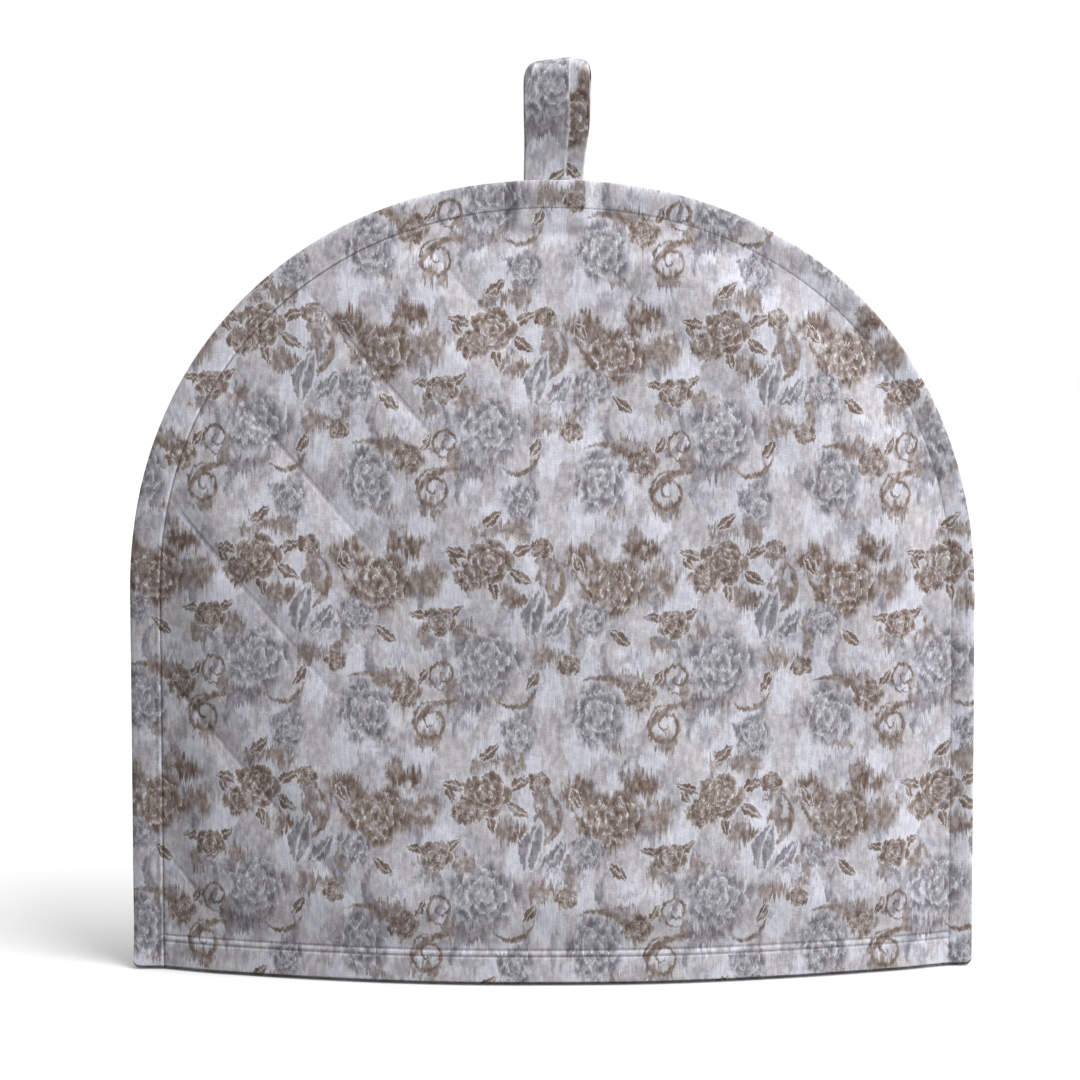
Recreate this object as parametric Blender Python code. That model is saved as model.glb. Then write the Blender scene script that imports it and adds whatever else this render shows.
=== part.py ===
"""Tea cosy: two quilted arch-shaped panels joined along a flat flange, with a hanging loop.

Metres, +Z up.  The origin is the middle of the hem, on the surface that the hem rests on.
The front panel faces -Y, the back panel faces +Y, and the flange lies in the plane y = 0.
"""

import math

import bmesh
import bpy

# Driving dimensions of the panels
PANEL_WIDTH = 0.293
PANEL_HEIGHT = 0.2735
STRAIGHT_SIDE = 0.129  # height at which the sides start to curve into the arch
ARCH_POWER = 2.14  # a superellipse a little fuller than an ellipse
FLANGE_WIDTH = 0.0095
STITCH_STRAY = 0.0014  # how far the stitched line strays to the right of the outline
HEM_DEPTH = 0.011

# How far the panels stand out from the flange plane
BULGE = 0.0225
BULGE_POWER = 2.2
TOP_LEAN = 0.8  # share of the bulge that is lost towards the top
LEAN_POWER = 1.7

# Thicknesses of the cloth
FLANGE_THICKNESS = 0.0020
HEM_THICKNESS = 0.0032
WALL_THICKNESS = 0.0052  # quilted and padded field
PUFF_RUN = 0.012  # distance over which the padding reaches its full thickness
GAP = 0.0003  # between pieces that touch

# Diagonal quilting, which falls to the right as seen from outside
QUILT_ANGLE = math.radians(48.7)
QUILT_PITCH = 0.0415
QUILT_OFFSET = 0.0072  # from the middle of the hem to the nearest quilting line
QUILT_DEPTH = 0.0012
QUILT_HALF_WIDTH = 0.0055

# A little unevenness, as sewn cloth has
WAVE_HEIGHT = 0.0006
WAVE_LENGTH = 0.11
WAVE_SLANT = 0.6  # how far along a wave shifts for each unit of height

# Hanging loop
LOOP_WIDTH = 0.0205
LOOP_RISE = 0.0408  # top of the loop above the top of the arch
LOOP_TUCK = 0.008  # length sewn in between the flanges
STRIP_THICKNESS = 0.0017
LAP_STEP = 0.0005  # drop from the lapped side of the strip to its single side
LOOP_HALF_OPENING = 0.0044  # half of the clear width inside the rounded top
LOOP_SWAY = 0.0028  # how far the rear strand strays to the right of the front one
POCKET_HALF_WIDTH = 0.0115  # the flanges stand apart over this much each side of the centre
POCKET_SIDE_RUN = 0.0041  # and close again over this run beside the loop
POCKET_DEPTH = 0.0133  # full opening this far down from the top of the arch
POCKET_FOOT_RUN = 0.0095  # and closed again over this run below that

# Mesh counts
SIDE_ROWS = 10
SHOULDER_ROWS = 15
CENTRE_COLUMNS = 10
OUTER_COLUMNS = 10  # on each side of the centre columns
CENTRE_SHARE = 0.135  # share of the width that the centre columns take
STRAND_STEPS = 14
CROWN_STEPS = 12

HALF_WIDTH = PANEL_WIDTH / 2
ARCH_RISE = PANEL_HEIGHT - STRAIGHT_SIDE
FIELD_HALF_WIDTH = HALF_WIDTH - FLANGE_WIDTH
FIELD_RISE = ARCH_RISE - FLANGE_WIDTH
CORNER_ANGLE = math.radians(45)  # where a side of the mesh grid hands over to its top
CREASE_ANGLE = math.radians(50)  # edges sharper than this stay sharp

# Across the strip: place as a share of its width, lift of the rounded top, outer surface
STRIP_COLUMNS = (
    {"across": -0.50, "lift": -0.0016, "raised": True},
    {"across": 0.20, "lift": 0.0011, "raised": True},
    {"across": 0.22, "lift": 0.0010, "raised": False},
    {"across": 0.50, "lift": -0.0022, "raised": False},
)

CLOTHS = {
    "front_panel": {"colour": (0.52, 0.50, 0.50), "roughness": 0.88},
    "back_panel": {"colour": (0.50, 0.48, 0.48), "roughness": 0.88},
    "hanging_loop": {"colour": (0.54, 0.52, 0.53), "roughness": 0.86},
}


def smooth(value):
    """Ease from 0 to 1, level at both ends."""
    held = min(max(value, 0.0), 1.0)
    return held * held * (3.0 - 2.0 * held)


def arch_point(half_width, rise, angle):
    """Point of the arch at an angle measured from its right-hand spring line."""
    across = math.copysign(abs(math.cos(angle)) ** (2 / ARCH_POWER), math.cos(angle))
    up = abs(math.sin(angle)) ** (2 / ARCH_POWER)
    return half_width * across, STRAIGHT_SIDE + rise * up


def side_points(half_width, rise):
    """Right-hand edge from the hem up to the corner of the grid."""
    points = [(half_width, STRAIGHT_SIDE * row / SIDE_ROWS) for row in range(SIDE_ROWS)]
    for row in range(SHOULDER_ROWS + 1):
        points.append(arch_point(half_width, rise, CORNER_ANGLE * row / SHOULDER_ROWS))
    return points


def column_shares():
    """Places of the columns from -1 at the left to 1 at the right, closer in the centre."""
    centre = [CENTRE_SHARE * step / (CENTRE_COLUMNS / 2) for step in range(CENTRE_COLUMNS // 2 + 1)]
    outer = [
        CENTRE_SHARE + (1 - CENTRE_SHARE) * step / OUTER_COLUMNS for step in range(1, OUTER_COLUMNS + 1)
    ]
    right = centre + outer
    return [-share for share in reversed(right[1:])] + right


def top_points(half_width, rise):
    """Top edge between the two corners of the grid, left to right."""
    sweep = math.radians(90) - CORNER_ANGLE
    return [
        arch_point(half_width, rise, math.radians(90) - sweep * share) for share in column_shares()
    ]


def field_grid():
    """Rows of (x, z) over the padded field, blended between the hem, the sides and the top."""
    side = side_points(FIELD_HALF_WIDTH, FIELD_RISE)
    top = top_points(FIELD_HALF_WIDTH, FIELD_RISE)
    steps = [0.0]
    for here, after in zip(side, side[1:]):
        steps.append(steps[-1] + math.dist(here, after))
    corner_x, corner_z = side[-1]
    rows = []
    for (edge_x, edge_z), step in zip(side, steps):
        up = step / steps[-1]
        row = []
        for share, (top_x, top_z) in zip(column_shares(), top):
            x = STITCH_STRAY + share * (edge_x - up * corner_x) + up * top_x
            row.append((x, edge_z + up * (top_z - corner_z)))
        rows.append(row)
    return rows


def reach(x, z):
    """0 at the middle of the padded field, 1 at the stitched line, more on the flange."""
    across = abs(x - STITCH_STRAY) / FIELD_HALF_WIDTH
    up = max(0.0, z - STRAIGHT_SIDE) / FIELD_RISE
    return (across**ARCH_POWER + up**ARCH_POWER) ** (1 / ARCH_POWER)


def loop_clearance(x, z):
    """How far the flange stands off to take in the ends of the loop."""
    need = GAP / 2 + STRIP_THICKNESS + GAP
    beside = 1 - smooth((abs(x) - POCKET_HALF_WIDTH) / POCKET_SIDE_RUN)
    below = 1 - smooth((PANEL_HEIGHT - POCKET_DEPTH - z) / POCKET_FOOT_RUN)
    return need * beside * below


def bulge(x, z):
    """Distance of the inside of a panel from the flange plane."""
    crown = max(0.0, 1 - reach(x, z) ** BULGE_POWER)
    lean = 1 - TOP_LEAN * (z / PANEL_HEIGHT) ** LEAN_POWER
    return max(BULGE * crown * lean, loop_clearance(x, z))


def quilting(x, z, facing):
    """Depth of the quilted troughs at a point of the padded field."""
    away = (-facing * x * math.sin(QUILT_ANGLE) + z * math.cos(QUILT_ANGLE) - QUILT_OFFSET) % QUILT_PITCH
    away = min(away, QUILT_PITCH - away)
    return QUILT_DEPTH * math.exp(-((away / QUILT_HALF_WIDTH) ** 2))


def thickness(x, z, facing):
    """Thickness of the cloth, thin on the flange and the hem and full in the padded field."""
    from_seam = smooth((1 - reach(x, z)) * FIELD_HALF_WIDTH / PUFF_RUN)
    from_hem = smooth((z - HEM_DEPTH) / PUFF_RUN)
    edge = FLANGE_THICKNESS + (HEM_THICKNESS - FLANGE_THICKNESS) * from_seam
    padding = (WALL_THICKNESS - HEM_THICKNESS - quilting(x, z, facing)) * from_seam * from_hem
    return edge + padding


def wave(x, z):
    """Slow unevenness of the flange plane, the same for both panels."""
    swell = math.sin(math.tau * (x + WAVE_SLANT * z) / WAVE_LENGTH)
    return WAVE_HEIGHT * swell * smooth(z / STRAIGHT_SIDE)


def finish(name, mesh_builder):
    """Turn a bmesh into a smooth-shaded object with its own cloth material."""
    bmesh.ops.recalc_face_normals(mesh_builder, faces=mesh_builder.faces)
    mesh = bpy.data.meshes.new(name)
    mesh_builder.to_mesh(mesh)
    mesh_builder.free()
    mesh.shade_smooth()
    mesh.set_sharp_from_angle(angle=CREASE_ANGLE)
    cloth = CLOTHS[name]
    material = bpy.data.materials.new(name + "_cloth")
    material.use_nodes = True
    shader = material.node_tree.nodes["Principled BSDF"]
    shader.inputs["Base Color"].default_value = (*cloth["colour"], 1.0)
    shader.inputs["Roughness"].default_value = cloth["roughness"]
    shader.inputs["Metallic"].default_value = 0.0
    mesh.materials.append(material)
    piece = bpy.data.objects.new(name, mesh)
    bpy.context.collection.objects.link(piece)
    return piece


def make_panel(name, facing):
    """One panel: facing is -1 for the front panel and 1 for the back panel."""
    builder = bmesh.new()

    def corner_pair(x, z):
        inner = GAP / 2 + bulge(x, z)
        outer = inner + thickness(x, z, facing)
        rise = wave(x, z)
        return (
            builder.verts.new((x, facing * outer + rise, z)),
            builder.verts.new((x, facing * inner + rise, z)),
        )

    def skin(here, after, above_here, above_after):
        for side in (0, 1):
            builder.faces.new((here[side], after[side], above_after[side], above_here[side]))

    field = [[corner_pair(x, z) for x, z in row] for row in field_grid()]
    for row, above in zip(field, field[1:]):
        for column in range(len(row) - 1):
            skin(row[column], row[column + 1], above[column], above[column + 1])

    left = [row[0] for row in field]
    right = [row[-1] for row in field]
    seam = left + field[-1][1:-1] + right[::-1]
    side = side_points(HALF_WIDTH, ARCH_RISE)
    top = top_points(HALF_WIDTH, ARCH_RISE)
    outline = [(-x, z) for x, z in side] + top[1:-1] + side[::-1]
    edge = [corner_pair(x, z) for x, z in outline]
    for step in range(len(seam) - 1):
        skin(seam[step], seam[step + 1], edge[step], edge[step + 1])
        builder.faces.new((edge[step][0], edge[step + 1][0], edge[step + 1][1], edge[step][1]))

    hem = [edge[0]] + field[0] + [edge[-1]]
    for here, after in zip(hem, hem[1:]):
        builder.faces.new((here[0], after[0], after[1], here[1]))
    return finish(name, builder)


def loop_path():
    """Inside line of the strip as (y, z, share of the full rise), front end to rear end."""
    arc_centre = PANEL_HEIGHT + LOOP_RISE - STRIP_THICKNESS - LOOP_HALF_OPENING
    start = PANEL_HEIGHT - LOOP_TUCK
    strand = []
    for step in range(STRAND_STEPS):
        z = start + (arc_centre - start) * step / STRAND_STEPS
        spread = smooth((z - PANEL_HEIGHT) / (arc_centre - PANEL_HEIGHT))
        y = GAP / 2 + (LOOP_HALF_OPENING - GAP / 2) * spread
        strand.append((-y, z, spread))
    crown = []
    for step in range(CROWN_STEPS + 1):
        turn = math.pi * step / CROWN_STEPS
        y = -LOOP_HALF_OPENING * math.cos(turn)
        z = arc_centre + LOOP_HALF_OPENING * math.sin(turn)
        crown.append((y, z, 1.0))
    rear = [(-y, z, spread) for y, z, spread in reversed(strand)]
    return strand + crown + rear


def make_loop():
    """The doubled strip, as one body with its lap step on the outer side."""
    builder = bmesh.new()
    path = loop_path()
    sections = []
    for index, (y, z, spread) in enumerate(path):
        before = path[max(index - 1, 0)]
        after = path[min(index + 1, len(path) - 1)]
        run_y, run_z = after[0] - before[0], after[1] - before[1]
        length = math.hypot(run_y, run_z)
        out_y, out_z = -run_z / length, run_y / length
        behind = smooth((y + LOOP_HALF_OPENING) / (2 * LOOP_HALF_OPENING))
        sway = LOOP_SWAY * behind * spread
        inner, outer = [], []
        for column in STRIP_COLUMNS:
            depth = STRIP_THICKNESS - (0 if column["raised"] else LAP_STEP)
            x = LOOP_WIDTH * column["across"] + sway
            lifted = z + column["lift"] * spread
            settled = y + wave(x, min(lifted, PANEL_HEIGHT))
            inner.append(builder.verts.new((x, settled, lifted)))
            outer.append(builder.verts.new((x, settled + out_y * depth, lifted + out_z * depth)))
        sections.append(inner + outer[::-1])
    for section, following in zip(sections, sections[1:]):
        for corner in range(len(section)):
            beyond = (corner + 1) % len(section)
            builder.faces.new(
                (section[corner], section[beyond], following[beyond], following[corner])
            )
    builder.faces.new(sections[0])
    builder.faces.new(sections[-1][::-1])
    return finish("hanging_loop", builder)


def main():
    """Clear the file and build the cosy under one empty."""
    for old in list(bpy.data.objects):
        bpy.data.objects.remove(old, do_unlink=True)
    cosy = bpy.data.objects.new("tea_cosy", None)
    bpy.context.collection.objects.link(cosy)
    for piece in (make_panel("front_panel", -1), make_panel("back_panel", 1), make_loop()):
        piece.parent = cosy


main()
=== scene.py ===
"""Quilted tea cosy: two printed arch-shaped panels, their stitching and a hanging loop.

Metres, +Z up.  The front panel faces -Y and the flange lies in the plane y = 0.
Each piece of the cosy is a class that holds its sizes, builds its mesh and dresses it.
"""

import logging
import math
from dataclasses import dataclass
from enum import Enum
from typing import Sequence, Union

import bpy
import numpy as np
from mathutils import Matrix, Vector


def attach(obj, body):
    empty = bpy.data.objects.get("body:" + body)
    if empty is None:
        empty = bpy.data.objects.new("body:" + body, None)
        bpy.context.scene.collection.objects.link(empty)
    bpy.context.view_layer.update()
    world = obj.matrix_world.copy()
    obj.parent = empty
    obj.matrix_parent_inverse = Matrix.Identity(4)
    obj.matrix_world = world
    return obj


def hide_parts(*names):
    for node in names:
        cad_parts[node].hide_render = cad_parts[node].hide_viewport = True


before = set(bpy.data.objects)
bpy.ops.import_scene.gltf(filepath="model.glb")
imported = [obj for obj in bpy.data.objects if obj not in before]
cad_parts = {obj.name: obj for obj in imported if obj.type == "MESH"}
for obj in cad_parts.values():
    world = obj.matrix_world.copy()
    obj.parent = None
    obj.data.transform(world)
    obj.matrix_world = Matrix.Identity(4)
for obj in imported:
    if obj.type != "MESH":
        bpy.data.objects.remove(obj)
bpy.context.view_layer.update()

logging.basicConfig(level=logging.INFO, format="%(message)s")
LOG = logging.getLogger("tea_cosy")

Colour = tuple[float, float, float]
Grid = np.ndarray
Socket = bpy.types.NodeSocket
Feed = Union[float, tuple, Socket]

MILLIMETRES = 1000.0


class Facing(Enum):
    """Which way a panel looks."""

    FRONT = -1
    BACK = 1


class Ink(Enum):
    """The inks of the printed cloth."""

    BROWN = "brown"
    LILAC = "lilac"
    GREIGE = "greige"


# --- small helpers


def ease(value: Grid) -> Grid:
    """Ease from 0 to 1, level at both ends."""
    held = np.clip(value, 0.0, 1.0)
    return held * held * (3.0 - 2.0 * held)


def groove(distance: Grid, half_width: float) -> Grid:
    """Bell curve: 1 on the line and near 0 beyond twice the half width."""
    return np.exp(-((distance / half_width) ** 2))


def run_along(x: Grid, z: Grid) -> Grid:
    """Distance along a line of points, from its start to each of them."""
    return np.concatenate([[0.0], np.cumsum(np.hypot(np.diff(x), np.diff(z)))])


def stepped(start: float, *stretches: tuple[float, float]) -> Grid:
    """Lay out rising values with a chosen spacing over each stretch.

    Args:
        start: the first value.
        stretches: for each stretch, the value it runs to and its spacing.

    Returns:
        The values in rising order.
    """
    values = [start]
    for end, spacing in stretches:
        begin = values[-1]
        count = max(1, round((end - begin) / spacing))
        values.extend(begin + (end - begin) * step / count for step in range(1, count + 1))
    return np.array(values)


def quads(sheet: Grid, flip: bool = False) -> list[list[int]]:
    """Faces between the neighbouring points of a grid.

    Args:
        sheet: the numbers of the points, row by row.
        flip: whether the faces look the other way.

    Returns:
        The four corners of each face.
    """
    corners = [sheet[:-1, :-1], sheet[:-1, 1:], sheet[1:, 1:], sheet[1:, :-1]]
    return np.stack(corners[::-1] if flip else corners, axis=-1).reshape(-1, 4).tolist()


def tube(rings: Grid, flip: bool = False) -> list[list[int]]:
    """Faces of a tube with closed ends.

    Args:
        rings: the numbers of the points, ring by ring.
        flip: whether the faces look the other way.

    Returns:
        The corners of each face.
    """
    sides = quads(np.concatenate([rings, rings[:, :1]], axis=1), flip)
    return sides + [end[::-1 if flip else 1].tolist() for end in (rings[0][::-1], rings[-1])]


def mesh_object(
    name: str, points: Grid, faces: Sequence[Sequence[int]], **maps: Grid
) -> bpy.types.Object:
    """Make a smooth-shaded mesh object of the points that have a face, and link it.

    Args:
        name: the object's name.
        points: an array of x, y, z rows.
        faces: the corner numbers of each face.
        maps: two numbers for each point, for the materials to read by the map's name.

    Returns:
        The new object.
    """
    used = np.unique(np.concatenate(faces))
    place = np.zeros(len(points), dtype=int)
    place[used] = np.arange(len(used))
    mesh = bpy.data.meshes.new(name)
    mesh.from_pydata(points[used].tolist(), [], [place[face].tolist() for face in faces])
    mesh.shade_smooth()
    corners = np.empty(len(mesh.loops), dtype=np.int32)
    mesh.loops.foreach_get("vertex_index", corners)
    for title, values in maps.items():
        layer = mesh.uv_layers.new(name=title)
        layer.data.foreach_set("uv", values[used][corners].astype(np.float32).ravel())
    piece = bpy.data.objects.new(name, mesh)
    bpy.context.collection.objects.link(piece)
    return piece


# --- wiring of nodes


@dataclass(frozen=True)
class Grain:
    """Smooth noise: how far its grains are apart, its finer layers and how strong they are."""

    across: float
    up: float
    detail: float = 2.0
    roughness: float = 0.5


class Wiring:
    """Adds shader nodes to a tree and joins them, one call for each node."""

    def __init__(self, tree: bpy.types.NodeTree) -> None:
        """Keep the tree that the nodes go into."""
        self.tree = tree

    def feed(self, socket: Socket, value: Feed) -> None:
        """Join a socket to another one, or set its own value.

        Args:
            socket: the input of a node.
            value: what goes into it.
        """
        if isinstance(value, Socket):
            self.tree.links.new(value, socket)
        else:
            socket.default_value = value

    def add(
        self, kind: str, values: dict | Sequence = (), out: int | str = 0, **settings: object
    ) -> Socket:
        """Add a node.

        Args:
            kind: the kind of node, without the prefix of all of them.
            values: what goes into its inputs, in their order or by number or name.
            out: number or name of the output to give back.
            settings: its named properties.

        Returns:
            The output.
        """
        made = self.tree.nodes.new("ShaderNode" + kind)
        for setting, value in settings.items():
            setattr(made, setting, value)
        for key, value in (values if isinstance(values, dict) else dict(enumerate(values))).items():
            self.feed(made.inputs[key], value)
        return made.outputs[out]

    def math(self, operation: str, *values: Feed, clamp: bool = False) -> Socket:
        """One step of arithmetic."""
        return self.add("Math", values, operation=operation, use_clamp=clamp)

    def times(self, value: Feed, other: Feed) -> Socket:
        """One number times another."""
        return self.math("MULTIPLY", value, other)

    def minus(self, value: Feed, other: Feed) -> Socket:
        """One number less another."""
        return self.math("SUBTRACT", value, other)

    def line(self, value: Feed, slope: Feed, start: Feed) -> Socket:
        """One number times another, plus a third."""
        return self.math("MULTIPLY_ADD", value, slope, start)

    def vector(self, operation: str, *values: Feed) -> Socket:
        """One step of arithmetic on vectors; LENGTH and DOT_PRODUCT give a number."""
        out = "Value" if operation in ("LENGTH", "DOT_PRODUCT") else "Vector"
        return self.add("VectorMath", values, out, operation=operation)

    def apart(self, vector: Feed) -> list[Socket]:
        """The x, y and z of a vector."""
        return list(self.add("SeparateXYZ", [vector]).node.outputs)

    def together(self, x: Feed, y: Feed, z: Feed = 0.0) -> Socket:
        """A vector of x, y and z."""
        return self.add("CombineXYZ", (x, y, z))

    def turned(self, vector: Feed, angle: Feed) -> Socket:
        """A vector turned about Z."""
        return self.add("VectorRotate", {"Vector": vector, "Angle": angle}, rotation_type="Z_AXIS")

    def span(self, value: Feed, low: Feed, high: Feed, *to: Feed) -> Socket:
        """Ease a value from one range to another, or to 0 and 1, and hold it at the ends."""
        given = (value, low, high, *(to or (0.0, 1.0)))
        return self.add("MapRange", given, interpolation_type="SMOOTHSTEP")

    def blend(self, share: Feed, under: Feed, over: Feed) -> Socket:
        """Go from one vector to another by a share."""
        return self.add("Mix", {0: share, 4: under, 5: over}, 1, data_type="VECTOR")

    def mix(self, share: Feed, under: Feed, over: Feed) -> Socket:
        """Lay one colour over another by a share."""
        return self.add("Mix", {0: share, 6: under, 7: over}, 2, data_type="RGBA")

    def noise(self, place: Feed, grain: Grain) -> Socket:
        """Smooth noise from 0 to 1, in the plane of the first two numbers of a place.

        Args:
            place: the place, as a vector.
            grain: sizes of the noise, in the units of the place.

        Returns:
            The noise.
        """
        sized = self.vector("DIVIDE", place, (grain.across, grain.up, 1.0))
        given = {"Scale": 1.0, "Detail": grain.detail, "Roughness": grain.roughness}
        return self.add("TexNoise", {"Vector": sized, **given}, noise_dimensions="2D")


class Surface(Wiring):
    """The nodes of one matt material."""

    def __init__(self, name: str) -> None:
        """Start a material.

        Args:
            name: its name.
        """
        self.material = bpy.data.materials.new(name)
        self.material.use_nodes = True
        super().__init__(self.material.node_tree)

    def settle(
        self, values: dict[str, Feed], height: Feed | None = None, strength: float = 1.0,
        depth: float = 0.0,
    ) -> bpy.types.Material:
        """Join what has been worked out to the shader.

        Args:
            values: what goes into the shader's inputs, by name.
            height: the relief, or None.
            strength: how strongly the relief turns the light.
            depth: depth of the relief in metres.

        Returns:
            The material.
        """
        if height is not None:
            given = {"Strength": strength, "Distance": depth, "Height": height}
            values = {**values, "Normal": self.add("Bump", given)}
        for name, value in values.items():
            self.feed(self.tree.nodes["Principled BSDF"].inputs[name], value)
        return self.material


def opaque(colour: Colour) -> tuple[float, float, float, float]:
    """A colour with full cover."""
    return (*colour, 1.0)


# --- printed figures


# The tone at which an ink is at its palest, just before bare ground.
PALE = 0.7


class Hand(Enum):
    """How a figure is printed: how far the threads carry its edges up and down."""

    CRISP = 0.28
    SOFT = 0.55
    WASHED = 1.15


@dataclass(frozen=True)
class Spot:
    """One place in the repeat where a figure is printed, in millimetres and degrees.

    `trait` is left to the figure, and `glides` prints it in the half blocks.
    """

    x: float
    y: float
    across: float
    up: float
    turn: float = 0.0
    trait: float = 0.0
    ink: Ink = Ink.BROWN
    hand: Hand = Hand.CRISP
    glides: bool = False

    def traits(self) -> tuple[float, float, float]:
        """Share of lilac ink, the figure's own trait and its turn in radians."""
        return (float(self.ink is Ink.LILAC), self.trait, math.radians(self.turn))


@dataclass(frozen=True)
class Motif:
    """A printed figure of unit size, drawn once for all of its spots."""

    spots: tuple[Spot, ...]

    def stops(self) -> tuple[tuple[float, float], ...]:
        """Places along the value that draw returns, and the tone there: 0 dark, 1 bare."""
        return ((0.0, 0.0), (PALE, PALE), (1.0, 1.0))

    def draw(self, wiring: Wiring, local: Feed, trait: Feed, turn: Feed) -> tuple[Feed, Feed]:
        """Draw the figure around its own centre.

        Args:
            wiring: adds nodes to the cloth's material.
            local: place on the cloth from the figure's centre, in units of its own size.
            trait: the spot's own trait.
            turn: how far the figure is turned.

        Returns:
            How far the ink covers the ground, and a value that stops() turns into a tone.
        """
        raise NotImplementedError

    def polar(self, wiring: Wiring, local: Feed, turn: Feed) -> tuple[Feed, Feed]:
        """Angle and distance of a place from the figure's centre.

        Args:
            wiring: adds nodes to the cloth's material.
            local: the place.
            turn: how far the figure is turned.

        Returns:
            The angle with the figure's turn, and the distance.
        """
        x, y, _ = wiring.apart(local)
        angle = wiring.math("ADD", wiring.math("ARCTAN2", y, x), turn)
        return angle, wiring.vector("LENGTH", local)


@dataclass(frozen=True)
class Rose(Motif):
    """An open rose of petals, ring over ring; the trait is how softly it fades out.

    Each ring has its radius, its number of petals and the angle at which they start.
    """

    rings: tuple[tuple[float, int, float], ...] = (
        (0.80, 5, 0.3), (0.58, 5, 1.9), (0.36, 4, 0.8), (0.17, 3, 2.4)
    )
    lobe: float = 0.20
    lobe_loss: float = 0.2
    line: float = 0.022
    tones: tuple[tuple[float, float], ...] = ((0.047, 0.60), (0.12, 0.28), (0.22, 0.0))
    line_tone: float = 0.95
    halo: float = 0.05
    uneven: float = 0.85
    steepest: float = 1.25
    ring_key: float = 5.3

    def stops(self) -> tuple[tuple[float, float], ...]:
        """A pale line, the petal's pale rim, its middle and its dark foot."""
        return ((0.0, self.line_tone), (self.line, self.line_tone), *self.tones)

    def draw(self, wiring: Wiring, local: Feed, trait: Feed, turn: Feed) -> tuple[Feed, Feed]:
        """Lay the rings from the outermost to the heart, each petal with a tone of its own.

        Args:
            wiring: adds nodes to the cloth's material.
            local: place on the cloth from the figure's centre, in units of its own size.
            trait: the spot's own trait.
            turn: how far the figure is turned.

        Returns:
            How far the ink covers the ground, and its tone.
        """
        angle, reach = self.polar(wiring, local, turn)
        petal: Feed = 0.0
        for number, (radius, petals, phase) in enumerate(self.rings):
            along = wiring.line(angle, petals / 2, phase)
            lobes = wiring.math("ABSOLUTE", wiring.math("SINE", along))
            lobe = self.lobe * (1.0 - self.lobe_loss * number)
            depth = wiring.line(lobes, lobe, radius)
            depth = wiring.minus(depth, reach)
            key = wiring.math("SNAP", along, math.pi)
            here = wiring.together(depth, key, self.ring_key * number)
            if number:
                petal = wiring.blend(wiring.math("GREATER_THAN", depth, 0.0), petal, here)
            else:
                petal, cover = here, wiring.span(depth, -self.halo, trait)
        own = wiring.add(
            "TexWhiteNoise", {"Vector": wiring.vector("MULTIPLY", petal, (0.0, 1.0, 1.0))},
            "Value", noise_dimensions="3D",
        )
        share = wiring.line(own, self.uneven, self.steepest - self.uneven)
        inside = wiring.minus(wiring.apart(petal)[0], self.line)
        return cover, wiring.line(inside, share, self.line)


@dataclass(frozen=True)
class Leaf(Motif):
    """A pointed leaf along its own X, as long as its size; the trait is how far it bends."""

    slim: float = 0.54
    broadest: float = 0.8
    belly: float = 0.72
    tip: float = 0.12
    halo: tuple[float, float] = (0.09, 0.04)
    rib: tuple[float, float, float, float] = (0.01, 0.09, 0.9, 0.08)
    edge: tuple[float, float, float, float] = (-0.03, 0.06, 1.0, 0.0)

    def draw(self, wiring: Wiring, local: Feed, trait: Feed, turn: Feed) -> tuple[Feed, Feed]:
        """Draw the leaf, broad near its base, with a pale rib and a pale line round it.

        Args:
            wiring: adds nodes to the cloth's material.
            local: place on the cloth from the figure's centre, in units of its own size.
            trait: the spot's own trait.
            turn: how far the figure is turned.

        Returns:
            How far the ink covers the ground, and its tone.
        """
        slender = (1.0, 1.0 / self.slim, 1.0)
        x, y, _ = wiring.apart(wiring.vector("MULTIPLY", wiring.turned(local, turn), slender))
        along = wiring.math("ADD", x, 0.5, clamp=True)
        belly = wiring.math("PINGPONG", wiring.math("POWER", along, self.broadest), 0.5)
        beside = wiring.math("ABSOLUTE", wiring.line(belly, trait, y))
        depth = wiring.line(wiring.math("SQRT", belly), self.belly, -self.tip)
        depth = wiring.minus(depth, beside)
        cover = wiring.span(depth, -self.halo[0], -self.halo[1])
        tones = wiring.span(beside, *self.rib), wiring.span(depth, *self.edge)
        return cover, wiring.math("MAXIMUM", *tones)


@dataclass(frozen=True)
class Stroke(Motif):
    """A tapered brush stroke on an arc of unit radius; the trait is one over its half sweep."""

    width: float = 0.12
    edge: float = 0.035
    tone: float = 0.25

    def draw(self, wiring: Wiring, local: Feed, trait: Feed, turn: Feed) -> tuple[Feed, Feed]:
        """Draw the arc, widest in its middle.

        Args:
            wiring: adds nodes to the cloth's material.
            local: place on the cloth from the figure's centre, in units of its own size.
            trait: the spot's own trait.
            turn: how far the figure is turned.

        Returns:
            How far the ink covers the ground, and its tone.
        """
        angle, reach = self.polar(wiring, local, turn)
        share = wiring.times(wiring.math("WRAP", angle, math.pi, -math.pi), trait)
        square = wiring.times(share, share)
        taper = wiring.line(square, -self.width, self.width)
        off = wiring.math("ABSOLUTE", wiring.minus(reach, 1.0))
        depth = wiring.minus(taper, off)
        return wiring.span(depth, -self.edge, self.edge), self.tone


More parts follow.
